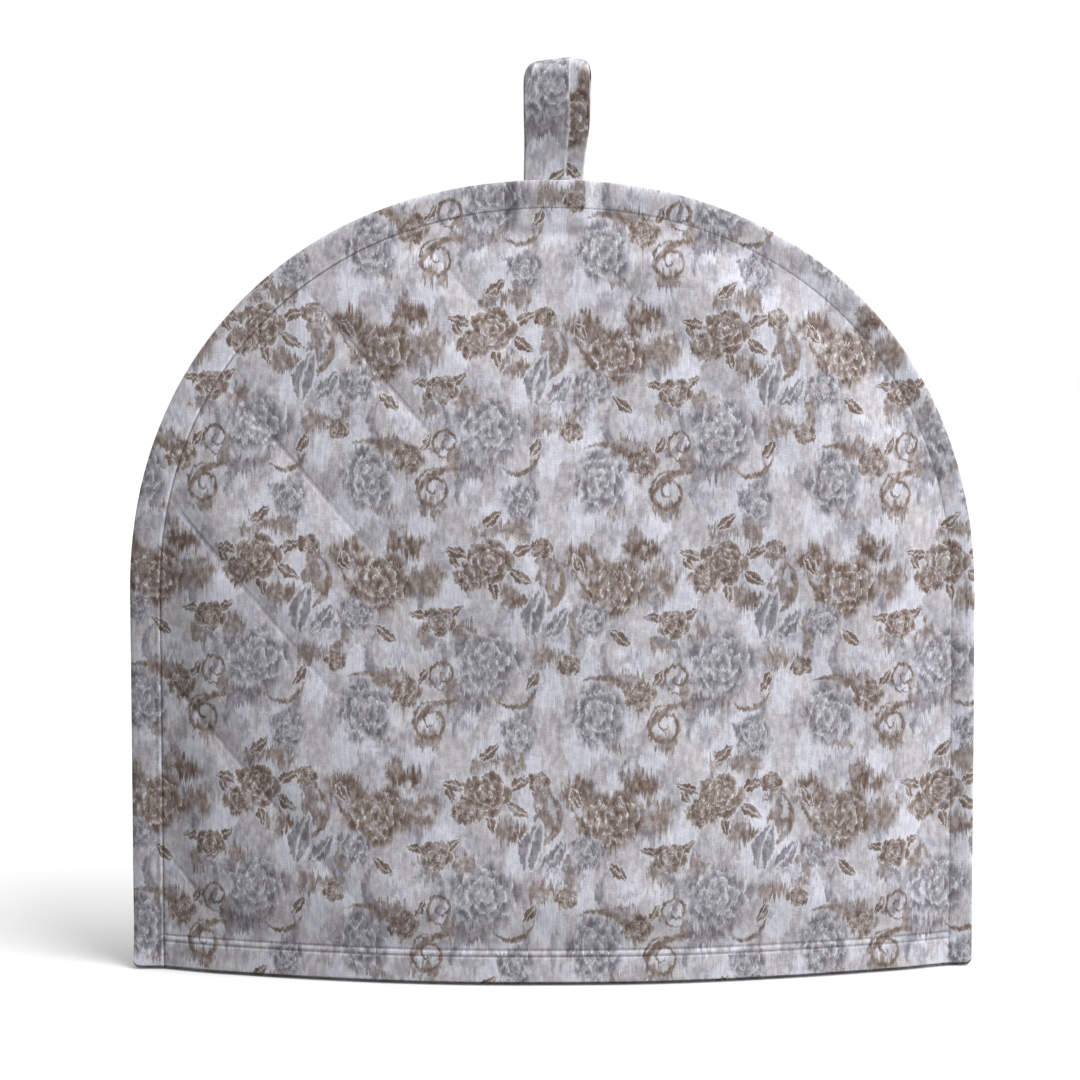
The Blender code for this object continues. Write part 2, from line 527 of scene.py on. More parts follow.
@dataclass(frozen=True)
class Scroll(Motif):
    """A curl that winds inwards and thins towards its eye; the trait is its turns per radius."""

    half_width: tuple[float, float] = (0.17, 0.06)
    edge: tuple[float, float] = (-0.05, 0.07)
    end: tuple[float, float] = (1.0, 0.88)
    tone: float = 0.16

    def draw(self, wiring: Wiring, local: Feed, trait: Feed, turn: Feed) -> tuple[Feed, Feed]:
        """Draw the spiral line.

        Args:
            wiring: adds nodes to the cloth's material.
            local: place on the cloth from the figure's centre, in units of its own size.
            trait: the spot's own trait.
            turn: how far the figure is turned.

        Returns:
            How far the ink covers the ground, and its tone.
        """
        angle, out = self.polar(wiring, local, turn)
        wound = wiring.times(out, trait)
        turns = wiring.line(angle, 1 / math.tau, wound)
        half = wiring.line(out, *self.half_width)
        line = wiring.minus(half, wiring.math("PINGPONG", turns, 0.5))
        cover = wiring.times(wiring.span(line, *self.edge), wiring.span(out, *self.end))
        return cover, self.tone


@dataclass(frozen=True)
class Blot:
    """A soft pool of thin ink at one spot, whose trait is its tone."""

    spot: Spot
    soft: float = 0.6
    strength: float = 1.0

    def draw(self, wiring: Wiring, local: Feed) -> Feed:
        """Draw the pool, full in the middle and fading outwards."""
        return wiring.span(wiring.vector("LENGTH", local), 1.0, 1.0 - self.soft, 0.0, self.strength)


@dataclass(frozen=True)
class Drift:
    """A wash of thin ink whose soft shapes are made of the crossing waves, each with a weight."""

    ink: Ink
    tone: float
    strength: float
    low: float
    high: float
    weights: tuple[float, ...]

    def draw(self, wiring: Wiring, waves: Sequence[Feed]) -> Feed:
        """Draw the wash.

        Args:
            wiring: adds nodes to the cloth's material.
            waves: the waves, three in each vector.

        Returns:
            How far the ink covers the ground.
        """
        total: Feed = 0.0
        for number, wave in enumerate(waves):
            swell = wiring.vector("DOT_PRODUCT", wave, self.weights[3 * number:3 * number + 3])
            total = wiring.math("ADD", total, swell) if number else swell
        return wiring.span(total, self.low, self.high, 0.0, self.strength)


# --- the print


# How often each wave repeats across and up the block, and its phase.
WAVES: tuple[tuple[int, int, float], ...] = (
    (2, 1, 0.4), (3, -2, 2.2), (1, 4, 4.0),
    (5, 2, 1.1), (4, -5, 5.2), (2, -3, 3.1),
    (4, 3, 2.9), (6, -1, 5.5), (1, -7, 0.9),
)

DRIFTS: tuple[Drift, ...] = (
    Drift(Ink.GREIGE, 0.62, 0.85, -0.10, 0.15, (0.8, 0.7, 0.6, 0.5, 0.4, 0.2, -0.3, 0.3, 0.35)),
    Drift(Ink.LILAC, 0.50, 0.70, 0.58, 0.82, (-0.3, 0.5, -0.5, -0.5, 0.5, 0.7, 0.6, 0.45, -0.3)),
    Drift(Ink.BROWN, 0.22, 0.78, 1.02, 1.28, (-0.5, -0.5, 0.6, -0.5, -0.4, 0.6, -0.7, 0.5, 0.4)),
)

WASH = dict(hand=Hand.WASHED)
SOFT = dict(hand=Hand.SOFT)
LILAC = dict(ink=Ink.LILAC, hand=Hand.SOFT)

BLOTS: tuple[Blot, ...] = (
    Blot(Spot(-9, 12, 6, 3.5, trait=0.1, glides=True, **WASH)),
    Blot(Spot(8, 57, 8, 5, ink=Ink.LILAC, glides=True, **WASH)),
    Blot(Spot(8, 66, 9, 6, trait=0.1, **WASH)),
    Blot(Spot(30, 69, 10, 5.5, **WASH)),
    Blot(Spot(35, 56, 8, 6, trait=0.35, **WASH), strength=0.9),
)


def spots(*rows: tuple[float, ...], **shared: object) -> tuple[Spot, ...]:
    """Spots with the same ink and hand, each a row of its place, sizes, turn and trait."""
    return tuple(Spot(*row, **shared) for row in rows)


FIGURES: tuple[Motif, ...] = (
    Stroke((
        *spots(
            (38, 31, 4.5, 8.0, 5, 0.36), (62, 17, 9.5, 8.0, 80, 0.50),
            (24, 33, 8.0, 8.5, 150, 0.65), **LILAC,
        ),
        *spots((6, 48, 8.0, 8.5, -60, 0.66), glides=True, **LILAC),
    ), width=0.20, edge=0.05),
    Stroke((
        *spots(
            (15, 13, 13.5, 13.0, -55, 0.95), (45, 5, 13.0, 12.0, -125, 1.2),
            (70, 58, 12.0, 11.0, 20, 0.85),
        ),
        *spots((-6, 64, 8.0, 9.0, 110, 0.9), glides=True),
    ), width=0.10),
    Leaf((
        *spots((73.5, 48, 19, 19, -76, -0.3), (80, 45, 14, 14, -48, 0.3), **LILAC),
        *spots(
            (68.5, 68.5, 9.5, 10.0, -28, -0.2), (68.0, 60.0, 9.5, 10.0, 32, 0.2),
            (45.5, 67.5, 9.5, 9.5, -165, 0.2), (48.0, 59.5, 8.5, 9.0, 145, -0.2),
            (59.0, 55.0, 8.0, 8.0, 80, 0.2), (33.0, 46.0, 8.0, 8.0, -170, 0.2),
            (46.0, 47.5, 7.5, 8.0, -40, -0.2), (27.0, 20.0, 8.5, 8.0, -20, 0.2),
        ),
        *spots(
            (2, 40, 9.5, 9.5, -140, -0.2), (-12, 64, 8.5, 8.5, 60, 0.2),
            (15, 26, 7.0, 7.5, -60, 0.2), glides=True,
        ),
    )),
    Rose((
        *spots((57, 31, 15.0, 13.5, 20, 0.34), (15, 13, 11.5, 12.5, 70, 0.26), **LILAC),
        *spots((20, 57, 13.5, 12.0, -30, 0.26), **SOFT),
        *spots((57, 65, 9.0, 8.0, 100, -0.01), (40, 44, 6.2, 5.4, 40)),
        *spots((-8, 46, 7.2, 7.8, 15, 0.26), glides=True, **LILAC),
        *spots((9, 20, 6.4, 5.6, 100, 0.12), glides=True, **SOFT),
        *spots((-15, 30, 4.2, 3.8, 210, 0.02), glides=True),
    )),
    Scroll(spots((38, 10, 7.0, 7.5, -35, 1.85), (42, 26, -5.5, 6.0, -160, 1.75))),
)


@dataclass(frozen=True)
class PrintedCotton:
    """Matt cotton, printed with roses, peonies and scrolls on a streaky ground.

    Its lengths are in millimetres, and its repeat is turned by a few degrees on the cloth.
    Four numbers together ease a noise from the range of the first two to that of the last.
    """

    name: str = "printed_cotton"
    repeat_across: float = 79.7
    repeat_up: float = 79.1
    repeat_turn: float = 0.9
    ground: Colour = (0.630, 0.631, 0.706)
    ground_pale: Colour = (0.674, 0.676, 0.750)
    brown: tuple[Colour, Colour] = ((0.184, 0.132, 0.110), (0.358, 0.300, 0.272))
    lilac: tuple[Colour, Colour] = ((0.228, 0.215, 0.248), (0.476, 0.458, 0.506))
    greige: tuple[Colour, Colour] = ((0.352, 0.322, 0.324), (0.540, 0.512, 0.528))
    strands: Grain = Grain(1.05, 13.0, 3.0, 0.75)
    pigment: Grain = Grain(4.0, 7.0, 3.0, 0.65)
    dabs: Grain = Grain(1.9, 3.2, 2.0, 0.6)
    fine: Grain = Grain(0.45, 9.0, 2.0, 0.6)
    weft: Grain = Grain(2.0, 0.4, 0.0, 0.5)
    streak_reach: float = 11.0
    drift_reach: float = 9.0
    sway: float = 2.2
    stray: float = 0.13
    stray_middle: float = 0.40
    least_ink: float = 0.55
    wash_cover: tuple[float, ...] = (0.28, 0.50, 0.25, 1.0)
    ground_share: tuple[float, float] = (0.30, 0.75)
    uneven: tuple[float, ...] = (0.30, 0.70, 0.78, 1.26)
    # Painted shade in the quilting creases: the colour falls to 0.88 in the sharpest folds.
    painted_crease_shade: tuple[float, ...] = (0.0, 1.0, 0.88, 1.0)
    thread_tone: tuple[float, ...] = (0.25, 0.75, 0.93, 1.04)
    roughness: tuple[float, ...] = (0.30, 0.70, 0.81, 0.94)
    sheen: float = 0.12
    sheen_roughness: float = 0.5
    gloss: float = 0.25
    seam_shade: float = 0.70
    thread_height: float = 0.19
    relief: float = 0.00022
    crease_reach: tuple[float, float] = (0.004, 0.030)

    def shade(self, ink: Ink, tone: float) -> tuple[float, float, float, float]:
        """The colour of an ink at a tone.

        Args:
            ink: the ink.
            tone: 0 for the dark ink, PALE for the pale one and 1 for bare ground.

        Returns:
            The colour.
        """
        dark, pale = (Vector(colour) for colour in getattr(self, ink.value))
        if tone <= PALE:
            return opaque(dark.lerp(pale, tone / PALE))
        return opaque(pale.lerp(Vector(self.ground_pale), (tone - PALE) / (1 - PALE)))

    def dress(self) -> bpy.types.Material:
        """Make the material, which reads the cloth map, the quilting map and the map of painted
        shade along the seams.
        """
        return Printing(self).finished()


class Printing(Surface):
    """The nodes of the printed cloth, with the colour that has been laid down so far."""

    def __init__(self, cotton: PrintedCotton) -> None:
        """Lay out the cloth, with the places on it as its threads carry them.

        Args:
            cotton: the colours and sizes of the print.
        """
        super().__init__(cotton.name)
        self.cotton = cotton
        cloth = self.vector("MULTIPLY", self.add("UVMap", uv_map="cloth"), (MILLIMETRES,) * 3)
        self.laid = self.turned(cloth, math.radians(cotton.repeat_turn))
        u, v, _ = self.apart(self.laid)
        self.strands, self.pigment, self.dabs, self.fine, self.weft = (
            self.noise(self.laid, grain)
            for grain in (cotton.strands, cotton.pigment, cotton.dabs, cotton.fine, cotton.weft)
        )
        reach = cotton.streak_reach
        pull = self.line(self.strands, reach, -reach / 2)
        sway = self.line(self.dabs, cotton.sway, u)
        heights = {hand: self.line(pull, hand.value, v) for hand in Hand}
        self.cells = {(hand, False): self.together(sway, heights[hand]) for hand in Hand}
        self.glide(sway, heights)
        across = self.line(self.pigment, cotton.drift_reach, u)
        self.waves = self.waved(across, heights[Hand.WASHED])
        self.wash = self.span(self.pigment, *cotton.wash_cover)
        self.even = self.line(self.wash, 1 - cotton.least_ink, cotton.least_ink)
        middle = -cotton.stray_middle * cotton.stray
        self.broken = self.line(self.dabs, cotton.stray, middle)
        bare = opaque(cotton.ground), opaque(cotton.ground_pale)
        self.colour = self.mix(self.span(self.fine, *cotton.ground_share), *bare)

    def glide(self, u: Feed, heights: dict[Hand, Feed]) -> None:
        """Fold the cloth into half blocks, each one turned over and dropped by half a repeat.

        Args:
            u: distance across the cloth, in millimetres.
            heights: distance up the cloth for each hand, in millimetres.
        """
        half = self.cotton.repeat_across / 2
        block = self.math("FLOOR", self.math("DIVIDE", u, half))
        odd = self.math("FLOORED_MODULO", block, 2.0)
        inside = self.minus(self.math("FLOORED_MODULO", u, half), half / 2)
        across = self.times(inside, self.line(odd, -2.0, 1.0))
        drop = self.times(odd, self.cotton.repeat_up / 2)
        for hand, height in heights.items():
            self.cells[hand, True] = self.together(across, self.math("ADD", height, drop))

    def waved(self, u: Feed, v: Feed) -> list[Feed]:
        """The crossing waves at a place on the cloth.

        Args:
            u: distance across the cloth, in millimetres.
            v: distance up the cloth.

        Returns:
            The waves, three in each vector.
        """
        across, up = (self.together(place, place, place) for place in (u, v))
        waves = []
        for first in range(0, len(WAVES), 3):
            sideways, upward, phase = zip(*WAVES[first:first + 3])
            turns = tuple(math.tau * count / self.cotton.repeat_across for count in sideways)
            rises = tuple(math.tau * count / self.cotton.repeat_up for count in upward)
            angle = self.vector("MULTIPLY_ADD", across, turns, phase)
            waves.append(self.vector("SINE", self.vector("MULTIPLY_ADD", up, rises, angle)))
        return waves

    def placed(self, spot: Spot) -> Socket:
        """Place on the cloth from a spot.

        Args:
            spot: where the figure is.

        Returns:
            The place as a vector, in units of the spot's size.
        """
        centre = Vector((spot.x, spot.y, 0.0))
        corner = Vector((self.cotton.repeat_across / 2, self.cotton.repeat_up / 2, 1.0))
        ends = tuple(centre + corner), tuple(centre - corner)
        inside = self.vector("WRAP", self.cells[spot.hand, spot.glides], *ends)
        shift = (-spot.x / spot.across, -spot.y / spot.up, 0.0)
        return self.vector("MULTIPLY_ADD", inside, (1 / spot.across, 1 / spot.up, 0.0), shift)

    def nearest(self, spots: Sequence[Spot]) -> tuple[Feed, Feed]:
        """Find the spot that lies nearest.

        Args:
            spots: the spots of one figure.

        Returns:
            The place from that spot in units of its size, and the spot's traits.
        """
        local: Feed = self.placed(spots[0])
        traits: Feed = spots[0].traits()
        reach = self.vector("LENGTH", local)
        for spot in spots[1:]:
            there = self.placed(spot)
            far = self.vector("LENGTH", there)
            closer = self.math("LESS_THAN", far, reach)
            local = self.blend(closer, local, there)
            traits = self.blend(closer, traits, spot.traits())
            reach = self.math("MINIMUM", far, reach)
        return local, traits

    def inked(self, motif: Motif, lilac: Feed, tone: Feed) -> Feed:
        """The colour of a figure, brown or lilac.

        Args:
            motif: the figure.
            lilac: share of lilac ink.
            tone: one tone, or the value that the figure's stops turn into tones.

        Returns:
            The colour.
        """
        cotton, colours = self.cotton, []
        for ink in (Ink.BROWN, Ink.LILAC):
            if isinstance(tone, float):
                colours.append(cotton.shade(ink, tone))
                continue
            ramp = self.add("ValToRGB", [tone])
            elements = ramp.node.color_ramp.elements
            first, *middle, last = motif.stops()
            elements[0].color = cotton.shade(ink, first[1])
            elements[1].color = cotton.shade(ink, last[1])
            elements[1].position = last[0]
            for place, level in middle:
                elements.new(place).color = cotton.shade(ink, level)
            colours.append(ramp)
        return self.mix(lilac, *colours)

    def stamp(self, motif: Motif) -> None:
        """Print a figure at all of its spots over what is there.

        Args:
            motif: the figure.
        """
        local, traits = self.nearest(motif.spots)
        lilac, trait, turn = self.apart(traits)
        cover, tone = motif.draw(self, local, trait, turn)
        if not isinstance(tone, float):
            tone = self.math("ADD", tone, self.broken)
        share = self.times(cover, self.even)
        self.colour = self.mix(share, self.colour, self.inked(motif, lilac, tone))

    def pour(self, cover: Feed, ink: Ink, tone: float) -> None:
        """Lay thin ink of one tone over what is there, as evenly as the cloth takes it."""
        share = self.times(cover, self.wash)
        self.colour = self.mix(share, self.colour, self.cotton.shade(ink, tone))

    def creased(self) -> Socket:
        """Find the folds along the quilting lines.

        Returns:
            0 in the sharpest folds and 1 on the open cloth.
        """
        passed, tight, _ = self.apart(self.add("UVMap", uv_map="quilting"))
        away = self.math("PINGPONG", passed, 0.5)
        sharp = self.span(away, *self.cotton.crease_reach, 1.0, 0.0)
        return self.line(sharp, self.times(tight, -1.0), 1.0)

    def finished(self) -> bpy.types.Material:
        """Print the washes and the figures, then add the threads, the relief of the folds, and
        painted shade in the folds and along the seams.

        Returns:
            The material.
        """
        cotton = self.cotton
        for drift in DRIFTS:
            self.pour(drift.draw(self, self.waves), drift.ink, drift.tone)
        for blot in BLOTS:
            self.pour(blot.draw(self, self.placed(blot.spot)), blot.spot.ink, blot.spot.trait)
        for motif in FIGURES:
            self.stamp(motif)
        uneven = self.add("Gamma", (self.colour, self.span(self.dabs, *cotton.uneven)))
        open_cloth = self.creased()
        # Painted shade along the stitched lines, darker away from the light, and painted highlight
        # on the ridges beside them.
        seams = self.apart(self.add("UVMap", uv_map="seams"))[0]
        painted_seam_shade = self.line(seams, -cotton.seam_shade, 1.0)
        # Painted shade in the creases, times the painted shade along the seams.
        painted_shade = self.times(self.span(open_cloth, *cotton.painted_crease_shade), painted_seam_shade)
        # The threads' own tone, times the painted shade.
        thread = self.times(self.span(self.fine, *cotton.thread_tone), painted_shade)
        woven = self.vector("MULTIPLY", uneven, self.together(thread, thread, thread))
        threads = self.math("ADD", self.fine, self.weft)
        height = self.line(threads, cotton.thread_height, open_cloth)
        return self.settle(
            {
                "Base Color": woven, "Roughness": self.span(self.strands, *cotton.roughness),
                "Sheen Weight": cotton.sheen, "Sheen Roughness": cotton.sheen_roughness,
                "Specular IOR Level": cotton.gloss,
            },
            height, depth=cotton.relief,
        )


@dataclass(frozen=True)
class PlainCotton:
    """Undyed plain-woven backing on the inner side of the panels."""

    name: str = "plain_cotton"
    colour: Colour = (0.560, 0.545, 0.540)
    shade: Colour = (0.470, 0.455, 0.455)
    thread: float = 0.8
    slubs: Grain = Grain(2.0, 9.0, 3.0)
    weave_share: float = 0.12
    pale_share: tuple[float, float] = (0.25, 0.75)
    roughness: tuple[float, ...] = (0.2, 0.8, 0.9, 0.8)
    sheen: float = 0.1
    bump: float = 0.4
    relief: float = 0.00015

    def dress(self) -> bpy.types.Material:
        """Make the material, a plain weave of crossing threads with a few slubs.

        Returns:
            The material.
        """
        wiring = Surface(self.name)
        place = wiring.vector("MULTIPLY", wiring.add("UVMap", uv_map="cloth"), (MILLIMETRES,) * 3)
        slubs = wiring.noise(place, self.slubs)
        warp, weft = (
            wiring.math("SINE", wiring.times(way, math.tau / self.thread))
            for way in wiring.apart(place)[:2]
        )
        weave = wiring.times(warp, weft)
        share = wiring.span(wiring.line(weave, self.weave_share, slubs), *self.pale_share)
        # The darker colour is painted shade in the dips of the weave, mixed with the slubs' own
        # tone.
        colour = wiring.mix(share, opaque(self.shade), opaque(self.colour))
        rough = wiring.span(slubs, *self.roughness)
        given = {"Base Color": colour, "Roughness": rough, "Sheen Weight": self.sheen}
        return wiring.settle(given, weave, self.bump, self.relief)


@dataclass(frozen=True)
class SewingThread:
    """Twisted cotton thread, darker than the ground of the print."""

    name: str = "sewing_thread"
    colour: Colour = (0.260, 0.238, 0.232)
    shade: Colour = (0.150, 0.136, 0.132)
    twist: float = 0.00035
    lay: float = 1.4
    roughness: tuple[float, ...] = (-1.0, 1.0, 0.75, 0.6)
    bump: float = 0.5
    relief: float = 0.00005

    def dress(self) -> bpy.types.Material:
        """Make the material, with its twist as slanting bumps and painted shade in their dips.

        Returns:
            The material.
        """
        wiring = Surface(self.name)
        turns = math.tau / self.twist
        place = wiring.add("TexCoord", out="Object")
        slant = wiring.vector("DOT_PRODUCT", place, (turns, turns, self.lay * turns))
        ply = wiring.math("SINE", slant)
        share = wiring.span(ply, -1.0, 1.0)
        # The darker colour is painted shade in the dips between the plies.
        colour = wiring.mix(share, opaque(self.shade), opaque(self.colour))
        given = {"Base Color": colour, "Roughness": wiring.span(ply, *self.roughness)}
        return wiring.settle(given, ply, self.bump, self.relief)


@dataclass(frozen=True)
class PaleFloor:
    """A plain white studio floor."""

    name: str = "pale_floor"
    colour: Colour = (0.90, 0.90, 0.90)
    grain: Grain = Grain(1 / 30, 1 / 30)
    roughness: tuple[float, ...] = (0.3, 0.7, 0.75, 0.85)

    def dress(self) -> bpy.types.Material:
        """Make the material, matt with a faint unevenness.

        Returns:
            The material.
        """
        wiring = Surface(self.name)
        grain = wiring.noise(wiring.add("TexCoord", out="Object"), self.grain)
        rough = wiring.span(grain, *self.roughness)
        return wiring.settle({"Base Color": opaque(self.colour), "Roughness": rough})


# --- the cosy's form


@dataclass(frozen=True)
class Crease:
    """A soft fold in the cloth, from one end to the other; a negative depth is a ridge."""

    start: tuple[float, float]
    end: tuple[float, float]
    depth: float
    half_width: float
    fade: float = 0.45

    def depth_at(self, x: Grid, z: Grid) -> Grid:
        """Depth of the fold, which fades towards its ends.

        Args:
            x: distance to the right, as seen from outside.
            z: height.

        Returns:
            The depth.
        """
        run = np.array(self.end) - np.array(self.start)
        length = float(np.hypot(*run))
        along = ((x - self.start[0]) * run[0] + (z - self.start[1]) * run[1]) / length
        beside = ((x - self.start[0]) * run[1] - (z - self.start[1]) * run[0]) / length
        fading = self.fade * length
        faded = ease(along / fading) * ease((length - along) / fading)
        return self.depth * faded * groove(beside, self.half_width)


@dataclass(frozen=True)
class CosyForm:
    """The arch, the bulge and the thicknesses that both panels share."""

    width: float = 0.293
    height: float = 0.2735
    straight_side: float = 0.129
    arch_power: float = 2.14
    flange_width: float = 0.0095
    stitch_stray: float = 0.0014
    hem_depth: float = 0.011
    bulge: float = 0.0225
    bulge_power: float = 2.2
    top_lean: float = 0.8
    lean_power: float = 1.7
    flange_thickness: float = 0.0020
    hem_thickness: float = 0.0032
    wall_thickness: float = 0.0052
    puff_run: float = 0.012
    gap: float = 0.0003
    outer_run: float = 0.019
    flange_bend: float = 0.26
    bend_start: float = 0.012
    bend_ease: float = 0.0015
    wave_height: float = 0.0006
    wave_length: float = 0.11
    wave_slant: float = 0.6
    strip_thickness: float = 0.0017
    pocket_half_width: float = 0.0115
    pocket_side_run: float = 0.0041
    pocket_depth: float = 0.0133
    pocket_foot_run: float = 0.0095

    @property
    def field_half_width(self) -> float:
        """Half the width between the stitched lines."""
        return self.width / 2 - self.flange_width

    @property
    def field_rise(self) -> float:
        """Rise of the stitched line above the straight sides."""
        return self.height - self.straight_side - self.flange_width

    def arch(self, beyond: float, angle: Grid) -> tuple[Grid, Grid]:
        """Points of an arch that runs beside the stitched line.

        Args:
            beyond: distance outside the stitched line.
            angle: angles from the right-hand spring line.

        Returns:
            The x and z of the points.
        """
        power = 2 / self.arch_power
        across = np.sign(np.cos(angle)) * np.abs(np.cos(angle)) ** power
        up = self.straight_side + (self.field_rise + beyond) * np.abs(np.sin(angle)) ** power
        return (self.field_half_width + beyond) * across, up

    def stray(self, beyond: float) -> float:
        """How far an arch lies to the right of the outline's middle."""
        return self.stitch_stray * (1 - max(0.0, beyond) / self.flange_width)

    def reach(self, x: Grid, z: Grid) -> Grid:
        """Share of the way from the middle of the field to the stitched line, above 1 outside.

        Args:
            x: distance across.
            z: height.

        Returns:
            The share.
        """
        across = np.abs(x - self.stitch_stray) / self.field_half_width
        up = np.maximum(0.0, z - self.straight_side) / self.field_rise
        return (across**self.arch_power + up**self.arch_power) ** (1 / self.arch_power)

    def beyond(self, x: Grid, z: Grid) -> Grid:
        """Distance outside the stitched line, below 0 on the padded field."""
        return (self.reach(x, z) - 1) * self.field_half_width

    def inner(self, x: Grid, z: Grid) -> Grid:
        """Distance of the inside from the middle plane, for the bulge and the loop's pocket.

        Args:
            x: distance across.
            z: height.

        Returns:
            The distance.
        """
        crown = np.maximum(0.0, 1 - self.reach(x, z) ** self.bulge_power)
        lean = 1 - self.top_lean * (np.maximum(z, 0.0) / self.height) ** self.lean_power
        beside = 1 - ease((np.abs(x) - self.pocket_half_width) / self.pocket_side_run)
        below = 1 - ease((self.height - self.pocket_depth - z) / self.pocket_foot_run)
        pocket = (self.gap / 2 + self.strip_thickness + self.gap) * beside * below
        return self.gap / 2 + np.maximum(self.bulge * crown * lean, pocket)

    def thickness(self, x: Grid, z: Grid) -> Grid:
        """Thickness of the cloth without its quilting, thin on the flange and the hem.

        Args:
            x: distance across.
            z: height.

        Returns:
            The thickness.
        """
        from_seam = ease(-self.beyond(x, z) / self.outer_run)
        from_hem = ease((z - self.hem_depth) / self.outer_run)
        edge = self.flange_thickness + (self.hem_thickness - self.flange_thickness) * from_seam
        return edge + (self.wall_thickness - self.hem_thickness) * from_seam * from_hem

    def wave(self, x: Grid, z: Grid) -> Grid:
        """Slow unevenness of the flange plane and its bend to the rear, in both panels.

        Args:
            x: distance across.
            z: height.

        Returns:
            How far the plane lies to the rear.
        """
        swell = np.sin(math.tau * (x + self.wave_slant * z) / self.wave_length)
        beyond = np.maximum(0.0, self.beyond(x, z))
        beside = ease(-x / self.field_half_width) * ease(z / self.bend_start)
        bent = self.flange_bend * beside * beyond**2 / (beyond + self.bend_ease)
        return self.wave_height * swell * ease(z / self.straight_side) + bent

    def cloth_map(self, x: Grid, z: Grid, steps: int = 28, nudge: float = 0.0005) -> Grid:
        """Place of each point on the flat cloth, measured along the bulging surface.

        Args:
            x: distance across.
            z: height.
            steps: number of steps in which the lengths are added up.
            nudge: distance over which the slope is taken.

        Returns:
            An array of u, v rows in metres.
        """
        u, v = np.zeros_like(x), np.zeros_like(z)
        for share in (np.arange(steps) + 0.5) / steps:
            rise = self.inner(x * share + nudge, z) - self.inner(x * share - nudge, z)
            u += x / steps * np.sqrt(1 + (rise / (2 * nudge)) ** 2)
            rise = self.inner(x, z * share + nudge) - self.inner(x, z * share - nudge)
            v += z / steps * np.sqrt(1 + (rise / (2 * nudge)) ** 2)
        return np.stack([u, v], axis=-1)


FORM = CosyForm()


@dataclass(frozen=True)
class Band:
    """A soft band along a seam: how far beside the seam it lies, half its width, its strength."""

    place: float
    half_width: float
    strength: float = 1.0

    def at(self, distance: Grid) -> Grid:
        """Strength of the band at a distance beside the seam."""
        return self.strength * groove(distance - self.place, self.half_width)


@dataclass(frozen=True)
class Quilting:
    """Diagonal quilting, which falls to the right as seen from outside."""

    angle: float = math.radians(48.7)
    pitch: float = 0.0415
    offset: float = 0.0094
    depth: float = 0.0008
    half_width: float = 0.0042
    crease_depth: float = 0.00022
    crease_half_width: float = 0.0012

    def count(self, seen: Grid, z: Grid) -> Grid:
        """Number of quilting lines passed, a whole number on each line."""
        return (seen * math.sin(self.angle) + z * math.cos(self.angle) - self.offset) / self.pitch

    def depth_at(self, seen: Grid, z: Grid) -> Grid:
        """Depth of the soft trough and of the narrow crease along its stitches.

        Args:
            seen: distance to the right, as seen from outside.
            z: height.

        Returns:
            The depth.
        """
        passed = self.count(seen, z)
        away = np.abs(passed - np.round(passed)) * self.pitch
        crease = self.crease_depth * groove(away, self.crease_half_width)
        return self.depth * groove(away, self.half_width) + crease


